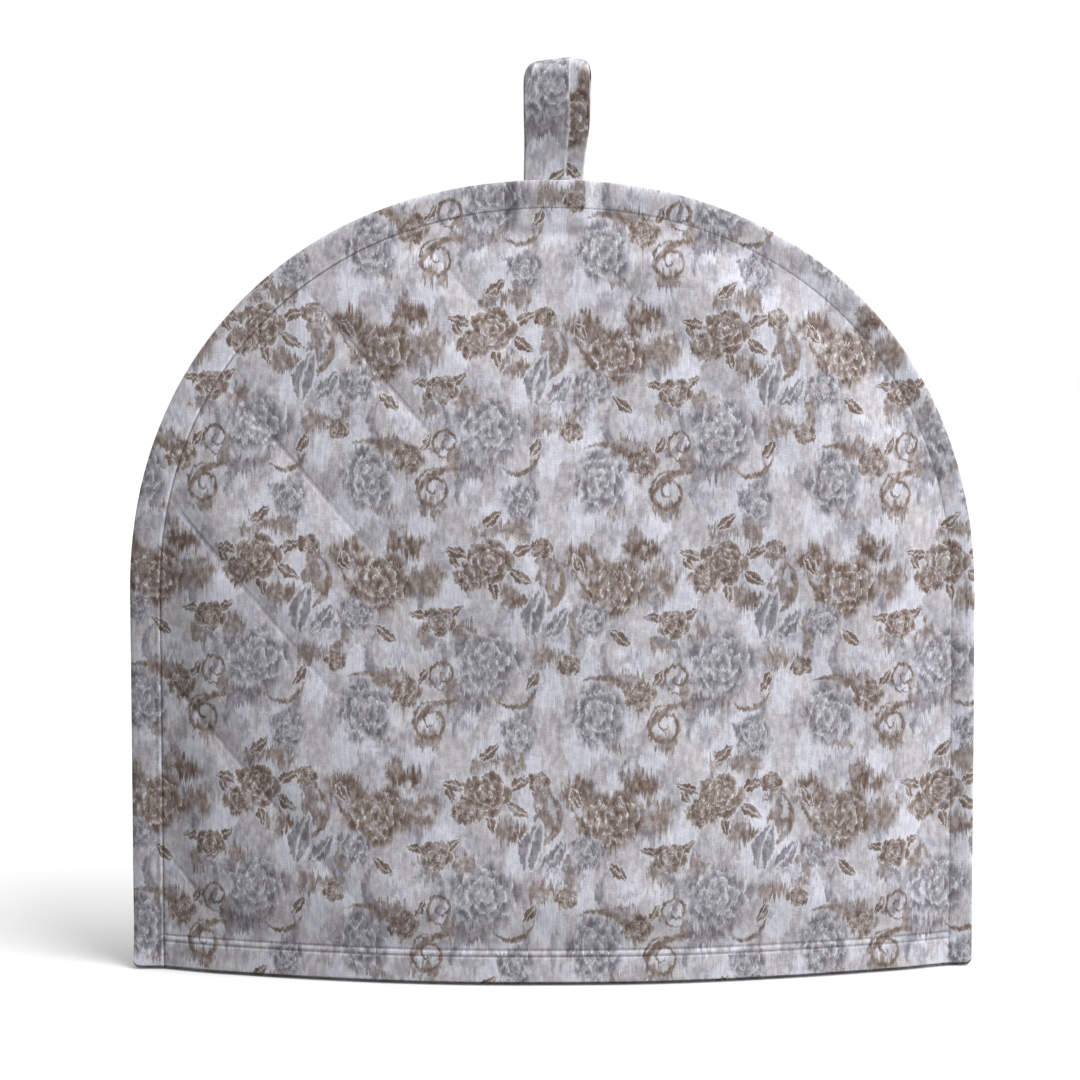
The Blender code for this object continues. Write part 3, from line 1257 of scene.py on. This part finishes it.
@dataclass
class QuiltedPanel:
    """One printed panel: padded field, stitched flange, and a hem turned up and sewn twice."""

    facing: Facing
    form: CosyForm = FORM
    quilting: Quilting = Quilting()
    field_edge: float = -0.0030
    columns: int = 150
    row_spacing: float = 0.0014
    low_spacing: float = 0.0013
    line_spacing: float = 0.00035
    line_margin: float = 0.0012
    seam_rows: tuple[tuple[float, float], ...] = (
        (-0.0012, 0.0009), (-0.0004, 0.0004), (0.0004, 0.0002),
        (0.0018, 0.00035), (0.0026, 0.0002), (0.0036, 0.0005),
    )
    edge_spacing: float = 0.0010
    edge_steps: tuple[float, ...] = (0.7, 0.45, 0.27, 0.14, 0.06, 0.015, 0.0)
    arch_run: float = 0.118
    line_gap: float = 0.0022
    line_depth: float = 0.00030
    line_half_width: float = 0.00032
    outer_line: Band = Band(0.0022, 0.0006, 0.45)
    lift: float = 0.00007
    lifted: Band = Band(0.0008, 0.0004, 1.5)
    hem_lifted: Band = Band(0.0011, 0.0022 / 3)
    # Bands of painted shade along the stitched lines and of painted highlight on the ridges beside
    # them.
    inner_shade: Band = Band(0.0, 0.00024)
    outer_shade: Band = Band(0.0022, 0.0007, 0.16)
    painted_ridge_highlight: Band = Band(0.0007, 0.0003, 0.42)
    hem_shade: float = 0.55
    hem_shade_half_width: float = 0.00020
    painted_hem_highlight: Band = Band(0.0011, 0.0006, 0.20)
    seam_end: float = 0.0008
    lit_line: float = 0.30
    lit_shade: float = 0.50
    shade_from: float = 0.02
    shade_run: float = 0.12
    arch_loss: float = 0.75
    arch_loss_run: float = 0.06
    low_run: float = 0.08
    grip_floor: float = 0.35
    grip_start: float = -0.108
    grip_gain: float = 0.060
    grip_from: float = 0.13
    grip_rise: float = 0.09
    grip_run: float = 0.052
    least_grip: float = 0.12
    tight_run: float = 0.008
    tight_start: float = 0.15
    tight_above: tuple[float, float] = (0.018, 0.014)
    patch_share: float = 0.30
    patch_waves: tuple[tuple[float, float, float], ...] = ((97, 41, 0.7), (-78, 53, 2.1))
    hem_line: float = 0.0100
    outer_roll: float = 0.0034
    inner_roll: float = 0.0010
    corner_radius: float = 0.0024
    corner_rise: float = 2.5
    hem_steps: tuple[float, ...] = (0.0, 0.25, 0.50, 0.75, 1.00, 1.30, 1.60, 2.00)
    lip_heights: tuple[float, ...] = (0.12, 0.55, 1.00, 1.12, 1.18, 1.36, 1.66, 2.00)
    lip_shares: tuple[float, ...] = (-0.98, -0.95, -0.80, 0.10, 0.82, 0.98, 1.00, 1.00)
    back_heights: tuple[float, ...] = (0.12, 0.00, 0.04, 0.16, 0.40, 0.85, 1.40, 2.00)
    back_shares: tuple[float, ...] = (0.98, 1.00, 1.00, 1.00, 1.00, 1.00, 1.00, 1.00)
    hem_push: float = 0.0034
    push_from: float = 0.02
    push_aside: float = 0.10
    push_rise: float = 0.11
    slack: float = 0.0016
    slack_run: float = 0.028
    slack_from: float = 0.05
    pucker: float = 0.00006
    pucker_pitch: float = 0.0062
    pucker_width: float = 0.0035
    pucker_sway: float = 0.0007
    pucker_sway_run: float = 1 / 190
    second_pitch: float = 1.37 * 0.0062
    second_share: float = 0.6
    arch_radius: float = 0.14
    lump: float = 0.00011
    lumps: tuple[tuple[float, float, float], ...] = (
        (61, 23, 0.4), (-37, 58, 1.9), (97, -71, 2.7), (133, 110, 0.9), (-171, 92, 4.1)
    )
    creases: tuple[Crease, ...] = (
        Crease((-0.118, 0.150), (-0.060, 0.205), 0.0006, 0.006),
        Crease((-0.070, 0.232), (-0.010, 0.196), -0.0006, 0.007),
        Crease((-0.100, 0.120), (-0.030, 0.150), -0.0004, 0.008),
        Crease((0.030, 0.236), (0.080, 0.180), 0.0004, 0.008),
        Crease((0.090, 0.100), (0.125, 0.030), -0.0005, 0.009),
        Crease((-0.020, 0.050), (0.060, 0.028), 0.0004, 0.008),
    )

    @property
    def name(self) -> str:
        """The panel's name."""
        return f"{self.facing.name.lower()}_panel"

    def heights(self) -> Grid:
        """Rows along the straight sides, close together at the hem's lines.

        Returns:
            The heights of the rows.
        """
        hem = np.array(self.hem_steps) / MILLIMETRES
        above = stepped(
            hem[-1],
            (self.hem_line - self.line_margin, self.low_spacing),
            (self.hem_line + self.line_gap + self.line_margin, self.line_spacing),
            (self.form.straight_side, self.row_spacing),
        )
        return np.concatenate([hem[:-1], above])

    def rings(self) -> Grid:
        """Rows of the border, close together at the stitched line and the edge.

        Returns:
            Their distances outside the stitched line.
        """
        flange = self.form.flange_width
        flat = (flange - self.outer_roll, self.edge_spacing)
        roll = flange - self.outer_roll * np.array(self.edge_steps)
        return np.concatenate([stepped(self.field_edge, *self.seam_rows, flat), roll])

    def arched(self, beyond: float) -> tuple[tuple[Grid, Grid], tuple[Grid, Grid]]:
        """The two parts of an arch that meet at the corners of the grid.

        Args:
            beyond: distance outside the stitched line.

        Returns:
            The x and z of the right-hand edge from the hem up, and of the top, left to right.
        """
        heights, corner = self.heights(), math.radians(45)
        steps = round(self.arch_run / self.row_spacing)
        x, z = self.form.arch(beyond, corner * np.arange(1, steps + 1) / steps)
        straight = np.full(len(heights), self.form.field_half_width + beyond)
        shares = np.linspace(-1.0, 1.0, self.columns + 1)
        top = self.form.arch(beyond, 2 * corner - corner * shares)
        return (np.concatenate([straight, x]), np.concatenate([heights, z])), top

    def field(self) -> tuple[Grid, Grid]:
        """Rows of the padded field, blended between the hem, the sides and the top.

        Returns:
            The x and z of its grid.
        """
        (side_x, side_z), (top_x, top_z) = self.arched(self.field_edge)
        run = run_along(side_x, side_z)
        up = (run / run[-1])[:, None]
        shares = np.linspace(-1.0, 1.0, self.columns + 1)[None, :]
        across = shares * (side_x[:, None] - up * side_x[-1]) + up * top_x[None, :]
        z = side_z[:, None] + up**2 * (top_z[None, :] - side_z[-1])
        return self.form.stitch_stray + across, z

    def border(self) -> tuple[Grid, Grid]:
        """Rows of the border, from the field's edge out to the edge of the flange.

        Returns:
            The x and z of its grid.
        """
        xs, zs = [], []
        for beyond in self.rings():
            (side_x, side_z), (top_x, top_z) = self.arched(beyond)
            across = np.concatenate([-side_x, top_x[1:-1], side_x[::-1]])
            xs.append(self.form.stray(beyond) + across)
            zs.append(np.concatenate([side_z, top_z[1:-1], side_z[::-1]]))
        return np.array(xs), np.array(zs)

    def seen(self, x: Grid) -> Grid:
        """Distance to the right, as seen from outside."""
        return -self.facing.value * x

    def shade_side(self, x: Grid) -> Grid:
        """1 along the side away from the light and 0 from the middle to the other side."""
        return ease((self.shade_from - self.seen(x)) / self.shade_run)

    def hem_lines(self, z: Grid, half_width: float) -> Grid:
        """The two stitched lines of the hem."""
        low = z - self.hem_line
        return groove(low, half_width) + groove(low - self.line_gap, half_width)

    def grip(self, x: Grid, z: Grid) -> Grid:
        """How well the quilting shows, most away from the light and near the top.

        Args:
            x: distance across.
            z: height.

        Returns:
            A share of up to 1.
        """
        limit = self.grip_start + self.grip_gain * ease((z - self.grip_from) / self.grip_rise)
        gripped = 1 - ease((self.seen(x) - limit) / self.grip_run)
        return self.least_grip + (1 - self.least_grip) * gripped

    def tightness(self, x: Grid, z: Grid) -> Grid:
        """How sharply the cloth folds in along a quilting line.

        Args:
            x: distance across.
            z: height.

        Returns:
            A share of up to 1.
        """
        within = ease(-self.form.beyond(x, z) / self.tight_run - self.tight_start)
        above = ease((z - self.tight_above[0]) / self.tight_above[1])
        patches = self.patch_share
        for along, up, phase in self.patch_waves:
            patches = patches * np.sin(along * x + up * z + phase)
        return within * above * self.grip(x, z) * (1 - self.patch_share + patches)

    def painted_seam_shade(self, x: Grid, z: Grid) -> Grid:
        """Painted shade along the stitched lines, darker away from the light; below 0, a painted
        highlight beside them.

        Args:
            x: distance across.
            z: height.

        Returns:
            The painted shade, and below 0 the painted highlight.
        """
        beyond, shady = self.form.beyond(x, z), self.shade_side(x)
        low = 1 - ease((z - self.form.straight_side) / self.low_run)
        field = (self.lit_shade + (1 - self.lit_shade) * shady) * self.inner_shade.at(beyond)
        field += shady * (low * self.outer_shade.at(beyond) - self.painted_ridge_highlight.at(beyond))
        hem = self.hem_shade * self.hem_lines(z, self.hem_shade_half_width)
        hem -= self.painted_hem_highlight.at(z - self.hem_line)
        return field + hem * ease(-beyond / self.seam_end)

    def puckers(self, x: Grid, z: Grid, sides: Grid, within: Grid) -> Grid:
        """Small ripples across the stitched lines.

        Args:
            x: distance across.
            z: height.
            sides: how much of them there is beside the field.
            within: 1 between the ends of the hem's lines and 0 beyond them.

        Returns:
            The ripples, of up to about 1.
        """
        form, pitch, middle = self.form, self.pucker_pitch, self.line_gap / 2
        turn = np.arctan2(z - form.straight_side, x)
        along = math.tau * np.where(z > form.straight_side, turn * self.arch_radius, z)
        ripple = np.sin(along / pitch) + self.second_share * np.sin(along / self.second_pitch)
        ripple = ripple * groove(form.beyond(x, z) - middle, self.pucker_width) * sides
        swayed = x + self.pucker_sway * np.sin(x / self.pucker_sway_run)
        hem = np.sin(math.tau * swayed / pitch)
        return ripple + hem * groove(z - self.hem_line - middle, self.pucker_width) * within

    def relief(self, x: Grid, z: Grid) -> Grid:
        """How far the outer side stands proud: lines, puckers, quilting, creases and lumps.

        Args:
            x: distance across.
            z: height.

        Returns:
            The height over the even cloth.
        """
        form, seen, shady = self.form, self.seen(x), self.shade_side(x)
        beyond = form.beyond(x, z)
        above_hem = ease((z - form.hem_depth) / form.puff_run)
        swollen = ease(-beyond / form.puff_run)
        within = ease(-beyond / self.seam_end)
        sides = 1 - self.arch_loss * ease((z - form.straight_side) / self.arch_loss_run)
        lines = (self.lit_line + (1 - self.lit_line) * shady) * groove(beyond, self.line_half_width)
        lines += sides * shady * self.outer_line.at(beyond)
        lines += self.hem_lines(z, self.line_half_width) * within
        lifted = sides * shady * self.lifted.at(beyond)
        lifted += self.hem_lifted.at(z - self.hem_line) * within
        height = self.lift * lifted - self.line_depth * np.minimum(1.0, lines)
        height += self.pucker * self.puckers(x, z, sides, within)
        gripped = self.grip_floor + (1 - self.grip_floor) * self.grip(x, z)
        padded = -self.quilting.depth_at(seen, z) * gripped
        for crease in self.creases:
            padded -= crease.depth_at(seen, z)
        for along, up, phase in self.lumps:
            padded += self.lump * np.sin(along * x + up * z + phase + self.facing.value)
        lit = ease((seen - self.slack_from) / self.slack_from)
        lit = lit * (1 - ease((z - form.straight_side) / self.slack_from))
        slack = self.slack * lit * (swollen - ease(-beyond / self.slack_run))
        return height + (padded * swollen - slack) * above_hem

    def surfaces(self, x: Grid, z: Grid, beyond: Grid | float) -> tuple[Grid, Grid]:
        """Outer and inner side at points of the panel.

        Args:
            x: distance across.
            z: height measured along the cloth.
            beyond: distance outside the stitched line, for the rounding of the flange's edge.

        Returns:
            Arrays of x, y, z rows for the outer and for the inner side.
        """
        form = self.form
        half = form.thickness(x, z) / 2
        aside = ease((np.abs(x) - self.push_from) / self.push_aside)
        push = self.hem_push * (1 - aside) * (1 - ease(z / self.push_rise))
        middle = form.inner(x, z) + half + push
        corner = self.corner_radius
        held = np.clip(np.abs(x) - (form.width / 2 - corner), 0.0, corner)
        lift = (corner - np.sqrt(corner**2 - held**2)) * (1 - ease(z / (self.corner_rise * corner)))
        steps = np.array(self.hem_steps) / MILLIMETRES
        sides = []
        for depth, heights, shares, radius in (
            (half + self.relief(x, z), self.lip_heights, self.lip_shares, self.outer_roll),
            (-half, self.back_heights, self.back_shares, self.inner_roll),
        ):
            near_edge = np.clip(1 - (form.flange_width - beyond) / radius, 0.0, 1.0)
            depth = depth * np.interp(z, steps, shares) * np.sqrt(1 - near_edge**2)
            y = self.facing.value * (middle + depth) + form.wave(x, z)
            shift = np.interp(z, steps, np.array(heights) / MILLIMETRES - steps)
            sides.append(np.stack([x, y, z + shift + lift], axis=-1))
        return sides[0], sides[1]

    def build(self, print_offset: tuple[float, float]) -> bpy.types.Object:
        """Build the panel's closed mesh.

        Args:
            print_offset: place of the middle of the hem on the printed cloth, in metres.

        Returns:
            The panel, whose outer faces are the first half of its faces.
        """
        field, border = self.field(), self.border()
        points, sheets, total = [], [], 0
        for side in zip(self.surfaces(*field, 0.0), self.surfaces(*border, self.rings()[:, None])):
            for surface in side:
                count = surface.size // 3
                points.append(surface.reshape(-1, 3))
                sheets.append(np.arange(total, total + count).reshape(surface.shape[:2]))
                total += count
        for cloth, edge in (sheets[:2], sheets[2:]):
            edge[0] = np.concatenate([cloth[:, 0], cloth[-1, 1:-1], cloth[::-1, -1]])
        outer, outer_edge, inner, inner_edge = sheets
        inner_edge[:, [0, -1]], inner_edge[-1] = outer_edge[:, [0, -1]], outer_edge[-1]
        inner[0] = outer[0]
        inner_edge[0, [0, -1]] = outer[0, [0, -1]]
        faces = []
        for sheet in sheets:
            inside = sheet is inner or sheet is inner_edge
            faces += quads(sheet, inside != (self.facing is Facing.BACK))
        x, z = (np.concatenate([grid.ravel() for grid in pair]) for pair in zip(field, border))
        flat = self.form.cloth_map(x, z) * (self.seen(1.0), 1.0) + np.array(print_offset)
        lines = np.stack([self.quilting.count(self.seen(x), z), self.tightness(x, z)], axis=-1)
        # Painted shade and painted highlight along the stitched lines, for the printed cloth's
        # colour.
        drawn = np.stack([self.painted_seam_shade(x, z), np.zeros_like(x)], axis=-1)
        flat, lines, drawn = (np.tile(rows, (2, 1)) for rows in (flat, lines, drawn))
        title = f"{self.name}_cloth"
        return mesh_object(
            title, np.concatenate(points), faces, cloth=flat, quilting=lines, seams=drawn
        )

    def dress(
        self, panel: bpy.types.Object, outer: bpy.types.Material, inner: bpy.types.Material
    ) -> None:
        """Print on the outer side and the rolled edges, plain backing inside.

        Args:
            panel: the panel's mesh.
            outer: the printed cloth.
            inner: the backing.
        """
        for material in (outer, inner):
            panel.data.materials.append(material)
        side = np.repeat(np.arange(2, dtype=np.int32), len(panel.data.polygons) // 2)
        panel.data.polygons.foreach_set("material_index", side)

    def flat_size(self, rows: int = 60) -> tuple[float, float, float]:
        """Size of the flat cloth.

        Args:
            rows: number of rows in which the area is added up.

        Returns:
            Its width, length and area, in metres and square metres.
        """
        form = self.form
        z = np.linspace(0.0, form.height, rows)
        up = np.maximum(z - form.straight_side, 0.0) / (form.height - form.straight_side)
        across = np.maximum(0.0, 1 - up**form.arch_power) ** (1 / form.arch_power)
        wide = 2 * form.cloth_map(form.width / 2 * across, z)[:, 0]
        tall = form.cloth_map(np.array([0.0]), np.array([form.height]))[0, 1]
        return float(wide.max()), float(tall), float(np.trapz(wide, z) * tall / form.height)


# --- stitching


@dataclass
class Stitching:
    """Machine stitches of one panel: round the padded field and twice along the hem.

    Each stitch is a short tube whose rings lie at shares of its length, with the heights
    and the girths given as shares of its radius.
    """

    panel: QuiltedPanel
    length: float = 0.0027
    space: float = 0.00055
    radius: float = 0.00014
    sides: int = 6
    shares: tuple[float, ...] = (0.0, 0.12, 0.5, 0.88, 1.0)
    heights: tuple[float, ...] = (-1.7, -0.8, -0.45, -0.8, -1.7)
    girths: tuple[float, ...] = (0.45, 0.9, 1.0, 0.9, 0.45)
    field_foot: float = 0.0022
    hem_end: float = 0.0004
    side_points: int = 200
    arch_points: int = 900
    hem_points: int = 500

    def routes(self) -> list[tuple[Grid, Grid]]:
        """Lines of stitches.

        Returns:
            The x and z along each line.
        """
        panel, form = self.panel, self.panel.form
        heights = np.linspace(self.field_foot, form.straight_side, self.side_points)[:-1]
        x, z = form.arch(0.0, np.linspace(0.0, math.pi, self.arch_points))
        edge = np.full(len(heights), form.field_half_width)
        xs = np.concatenate([edge, x, -edge]) + form.stitch_stray
        found = [(xs, np.concatenate([heights, z, heights[::-1]]))]
        half = form.field_half_width - self.hem_end
        xs = np.linspace(-half, half, self.hem_points) + form.stitch_stray
        for height in (panel.hem_line, panel.hem_line + panel.line_gap):
            found.append((xs, np.full(self.hem_points, height)))
        return found

    def row(self, xs: Grid, zs: Grid) -> Grid:
        """One line of stitches on the panel's outer side.

        Args:
            xs: distances across along the line.
            zs: heights along the line.

        Returns:
            The points, as an array of stitches, rings, points of a ring and x, y, z.
        """
        shares, height, girth = (
            np.array(values) for values in (self.shares, self.heights, self.girths)
        )
        run, step = run_along(xs, zs), self.length + self.space
        starts = step * np.arange(int(run[-1] / step))[:, None] + self.space / 2
        places = starts + shares * self.length
        line, _ = self.panel.surfaces(np.interp(places, run, xs), np.interp(places, run, zs), 0.0)
        out = np.array([0.0, float(self.panel.facing.value), 0.0])
        side = np.cross(line[:, -1] - line[:, 0], out)
        side = (side / np.linalg.norm(side, axis=-1, keepdims=True))[:, None]
        turn = (math.tau * np.arange(self.sides) / self.sides)[:, None]
        around = (np.cos(turn) * side + np.sin(turn) * out)[:, None]
        raised = line[:, :, None] + self.radius * height[:, None, None] * out
        return raised + self.radius * girth[:, None, None] * around

    def build(self) -> bpy.types.Object:
        """Build all the stitches as one mesh.

        Returns:
            The stitches.
        """
        points, faces, count = [], [], 0
        for xs, zs in self.routes():
            row = self.row(xs, zs)
            numbers = count + np.arange(row.size // 3).reshape(row.shape[:-1])
            count += numbers.size
            points.append(row.reshape(-1, 3))
            for stitch in numbers:
                faces += tube(stitch, flip=True)
        return mesh_object(f"{self.panel.name}_stitching", np.concatenate(points), faces)


# --- hanging loop


@dataclass
class HangingLoop:
    """A lapped strip of the printed cloth, doubled over and sewn in between the flanges."""

    form: CosyForm = FORM
    width: float = 0.0205
    rise: float = 0.0408
    tuck: float = 0.008
    lap_step: float = 0.0005
    lap_place: float = 0.20
    lap_run: float = 0.02
    lip: tuple[float, float, float] = (0.00016, 0.025, 0.022)
    half_opening: float = 0.0044
    sway: float = 0.0028
    strand_steps: int = 70
    crown_steps: int = 36
    edge_roll: float = 0.0007
    edge_steps: tuple[float, ...] = (0.0, 0.05, 0.2, 0.45, 0.75)
    spacing: float = 0.045
    lap_spacing: float = 0.008
    lap_margin: float = 0.04
    spread_right: float = 0.0022
    spread_from: float = -0.1
    spread_run: float = 0.6
    bow: float = 0.62
    shift: float = 0.0008
    corner_radius: float = 0.0034
    crown: float = 0.0006
    slope: float = 0.0016
    ripple: tuple[float, float, float] = (0.00012, 260.0, 5.0)
    lap_print: tuple[float, float] = (0.038, -0.043)

    def path(self) -> tuple[Grid, Grid, Grid]:
        """Inside line of the strip, from the front to the rear.

        Returns:
            The y and z of its points, and how far the loop has opened at each.
        """
        form, half = self.form, self.half_opening
        centre = form.height + self.rise - form.strip_thickness - half
        start = form.height - self.tuck
        z = start + (centre - start) * np.arange(self.strand_steps) / self.strand_steps
        spread = ease((z - form.height) / (centre - form.height))
        y = form.gap / 2 + (half - form.gap / 2) * spread
        turn = np.linspace(0.0, math.pi, self.crown_steps + 1)
        return (
            np.concatenate([-y, -half * np.cos(turn), y[::-1]]),
            np.concatenate([z, centre + half * np.sin(turn), z[::-1]]),
            np.concatenate([spread, np.ones_like(turn), spread[::-1]]),
        )

    def columns(self) -> Grid:
        """Columns of the strip, closer at the edges and at the lap.

        Returns:
            Their places, as shares of the width to the right of its middle.
        """
        edge = self.edge_roll / self.width
        left = -0.5 + edge * np.array(self.edge_steps)
        near = (self.lap_place - self.lap_margin, self.spacing)
        far = (self.lap_place + self.lap_margin, self.lap_spacing)
        middle = stepped(-0.5 + edge, near, far, (0.5 - edge, self.spacing))
        return np.concatenate([left, middle, -left[::-1]])

    def thickness(self, across: Grid, run: Grid) -> Grid:
        """Thickness of the strip, less beside its lap.

        Args:
            across: places across the strip.
            run: distances along it.

        Returns:
            The thickness.
        """
        height, place, half_width = self.lip
        lip = height * groove(across - self.lap_place + place, half_width)
        lapped = self.lap_step * ease((across - self.lap_place) / self.lap_run)
        depth, along, aside = self.ripple
        ripple = depth * np.sin(run * along + across * aside)
        return self.form.strip_thickness - lapped + lip + ripple

    def top_edge(self, across: Grid) -> Grid:
        """Height of the loop's top over its middle, with rounded corners.

        Args:
            across: places across the strip.

        Returns:
            The height.
        """
        radius = self.corner_radius
        outside = np.clip(np.abs(across) * self.width - self.width / 2 + radius, 0.0, radius)
        dome = self.crown * (1 - (2 * across) ** 2) + self.slope * across
        return dome - radius + np.sqrt(radius**2 - outside**2)

    def build(self, print_offset: tuple[float, float]) -> bpy.types.Object:
        """Build the strip's closed mesh.

        Args:
            print_offset: place of the strip's middle on the printed cloth, in metres.

        Returns:
            The loop.
        """
        form, across = self.form, self.columns()
        line = np.pad(np.stack(self.path()[:2], axis=-1), ((1, 1), (0, 0)), mode="edge")
        along = line[2:] - line[:-2]
        along_y, along_z = (along / np.linalg.norm(along, axis=1, keepdims=True)).T[..., None]
        run = run_along(*self.path()[:2])[:, None]
        y, z, spread = (values[:, None] for values in self.path())
        behind = ease((y + self.half_opening) / (2 * self.half_opening))
        bow = np.sin(math.pi * np.minimum(1.0, spread * self.bow))
        beside = ease((across - self.spread_from) / self.spread_run)
        aside = (1 - behind) * self.spread_right * bow * beside
        x = self.width * across + self.shift + self.sway * behind * spread + aside
        height = z + self.top_edge(across) * spread
        settled = y + form.wave(x, np.minimum(height, form.height))
        near = np.clip((np.abs(across) - 0.5) * self.width / self.edge_roll + 1, 0.0, 1.0)
        middle = self.thickness(across, run) / 2
        rolled = middle * np.sqrt(1 - near**2)
        points = np.stack([
            np.stack([x, settled - along_z * reach, height + along_y * reach], axis=-1)
            for reach in (middle + rolled, middle - rolled)
        ], axis=1)
        flat = np.stack(np.broadcast_arrays(across * self.width, run), axis=-1)
        flat = flat + np.where(across > self.lap_place, 1.0, 0.0)[:, None] * self.lap_print
        flat = np.stack([flat, flat], axis=1).reshape(-1, 2) + print_offset
        order = np.arange(len(flat)).reshape(points.shape[:-1])
        order[:, 1, [0, -1]] = order[:, 0, [0, -1]]
        rings = np.concatenate([order[:, 0], order[:, 1, -2:0:-1]], axis=1)
        none = np.zeros_like(flat)
        return mesh_object(
            "hanging_loop_strip", points.reshape(-1, 3), tube(rings),
            cloth=flat, quilting=none, seams=none,
        )

    def flat_size(self) -> tuple[float, float]:
        """Width and length of the sewn strip before it is doubled over."""
        y, z, _ = self.path()
        return self.width, float(run_along(y, z)[-1])


# --- studio


@dataclass(frozen=True)
class Lamp:
    """A soft, far light: its strength, how wide it looks, how far right and how high it stands."""

    name: str
    strength: float
    spread: float
    azimuth: float
    elevation: float

    def shine(self) -> None:
        """Add the light, whose angles are given in degrees."""
        lamp = bpy.data.lights.new(self.name, "SUN")
        lamp.energy, lamp.angle = self.strength, math.radians(self.spread)
        light = bpy.data.objects.new(self.name, lamp)
        right, up = math.radians(self.azimuth), math.radians(self.elevation)
        level = math.cos(up)
        source = Vector((math.sin(right) * level, -math.cos(right) * level, math.sin(up)))
        light.rotation_euler = source.to_track_quat("Z", "Y").to_euler()
        bpy.context.collection.objects.link(light)


@dataclass(frozen=True)
class Studio:
    """White floor, soft light from the right and a camera a little above the hem."""

    floor_size: float = 14.0
    distance: float = 0.98
    azimuth: float = math.radians(0.42)
    elevation: float = math.radians(4.06)
    roll: float = math.radians(-0.14)
    focal_pixels: float = 2832.0
    frame_pixels: float = 1080.0
    sensor: float = 36.0
    target: tuple[float, float, float] = (-0.0038, 0.0, 0.158)
    centre_pixel: tuple[float, float] = (541.0, 516.1)
    key: Lamp = Lamp("key_light", 3.85, 55, 58, 38)
    top: Lamp = Lamp("top_light", 0.6, 50, 0, 88)
    world_strength: float = 0.475
    world_below: float = 0.06
    horizon: float = 0.12
    clip: tuple[float, float] = (0.01, 50.0)

    def make_floor(self) -> bpy.types.Object:
        """Lay the floor under the cosy.

        Returns:
            The floor.
        """
        half = self.floor_size / 2
        corners = [(-half, -half, 0.0), (half, -half, 0.0), (half, half, 0.0), (-half, half, 0.0)]
        floor = mesh_object("studio_floor", np.array(corners), [[0, 1, 2, 3]])
        floor.data.materials.append(PaleFloor().dress())
        floor.visible_diffuse = False
        return floor

    def make_lights(self) -> None:
        """Light the studio from the right, from above and a little from all round."""
        self.key.shine()
        self.top.shine()
        world = bpy.data.worlds.new("studio")
        world.use_nodes = True
        wiring = Wiring(world.node_tree)
        background = world.node_tree.nodes["Background"]
        background.inputs["Color"].default_value = (1.0, 1.0, 1.0, 1.0)
        seen = wiring.add("LightPath", out="Is Camera Ray")
        height = wiring.apart(wiring.add("TexCoord", out="Generated"))[2]
        ends = -self.horizon, self.horizon, self.world_below, self.world_strength
        strength = wiring.math("MAXIMUM", seen, wiring.span(height, *ends))
        wiring.feed(background.inputs["Strength"], strength)
        bpy.context.scene.world = world
        bpy.context.scene.view_settings.view_transform = "Standard"

    def make_camera(self) -> None:
        """Place the camera and set it as the scene's own."""
        yaw, rise, frame_width = self.azimuth, self.elevation, self.frame_pixels
        level = math.cos(rise)
        ahead = Vector((math.sin(yaw) * level, math.cos(yaw) * level, -math.sin(rise)))
        right = Vector((math.cos(yaw), -math.sin(yaw), 0.0))
        up = right.cross(ahead)
        across = math.cos(self.roll) * right + math.sin(self.roll) * up
        above = -math.sin(self.roll) * right + math.cos(self.roll) * up
        data = bpy.data.cameras.new("camera")
        data.sensor_width = self.sensor
        data.lens = self.focal_pixels / frame_width * self.sensor
        data.shift_x = (frame_width / 2 - self.centre_pixel[0]) / frame_width
        data.shift_y = (self.centre_pixel[1] - frame_width / 2) / frame_width
        data.clip_start, data.clip_end = self.clip
        camera = bpy.data.objects.new("camera", data)
        turned = Matrix((across, above, -ahead)).transposed().to_4x4()
        stand = Vector(self.target) - self.distance * ahead
        camera.matrix_world = Matrix.Translation(stand) @ turned
        bpy.context.collection.objects.link(camera)
        bpy.context.scene.camera = camera


# --- assembly


# Where the middle of each panel's hem, and of the loop, lies on the printed cloth.
FRONT_PRINT = (0.0, 0.0)
BACK_PRINT = (0.033, 0.021)
LOOP_PRINT = (-0.0236, -0.0085)


def report(piece: bpy.types.Object) -> None:
    """Log a piece's name and how many triangles it has."""
    triangles = sum(len(face.vertices) - 2 for face in piece.data.polygons)
    LOG.info("%s: %d triangles", piece.name, triangles)


def main() -> None:
    """Build the cosy's pieces in order, dress them and set up the studio."""
    studio = Studio()
    studio.make_camera()
    studio.make_lights()
    floor = studio.make_floor()
    printed, plain, thread = (
        finish.dress() for finish in (PrintedCotton(), PlainCotton(), SewingThread())
    )

    for facing, offset in ((Facing.FRONT, FRONT_PRINT), (Facing.BACK, BACK_PRINT)):
        panel = QuiltedPanel(facing)
        cloth = panel.build(offset)
        panel.dress(cloth, printed, plain)
        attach(cloth, "root")
        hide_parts(panel.name)
        report(cloth)
        stitches = Stitching(panel).build()
        stitches.data.materials.append(thread)
        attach(stitches, "root")
        report(stitches)
        wide, tall, area = panel.flat_size()

    loop = HangingLoop()
    strip = loop.build(LOOP_PRINT)
    strip.data.materials.append(printed)
    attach(strip, "root")
    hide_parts("hanging_loop")
    loop.flat_size()
    report(strip)


if __name__ == "__main__":
    main()
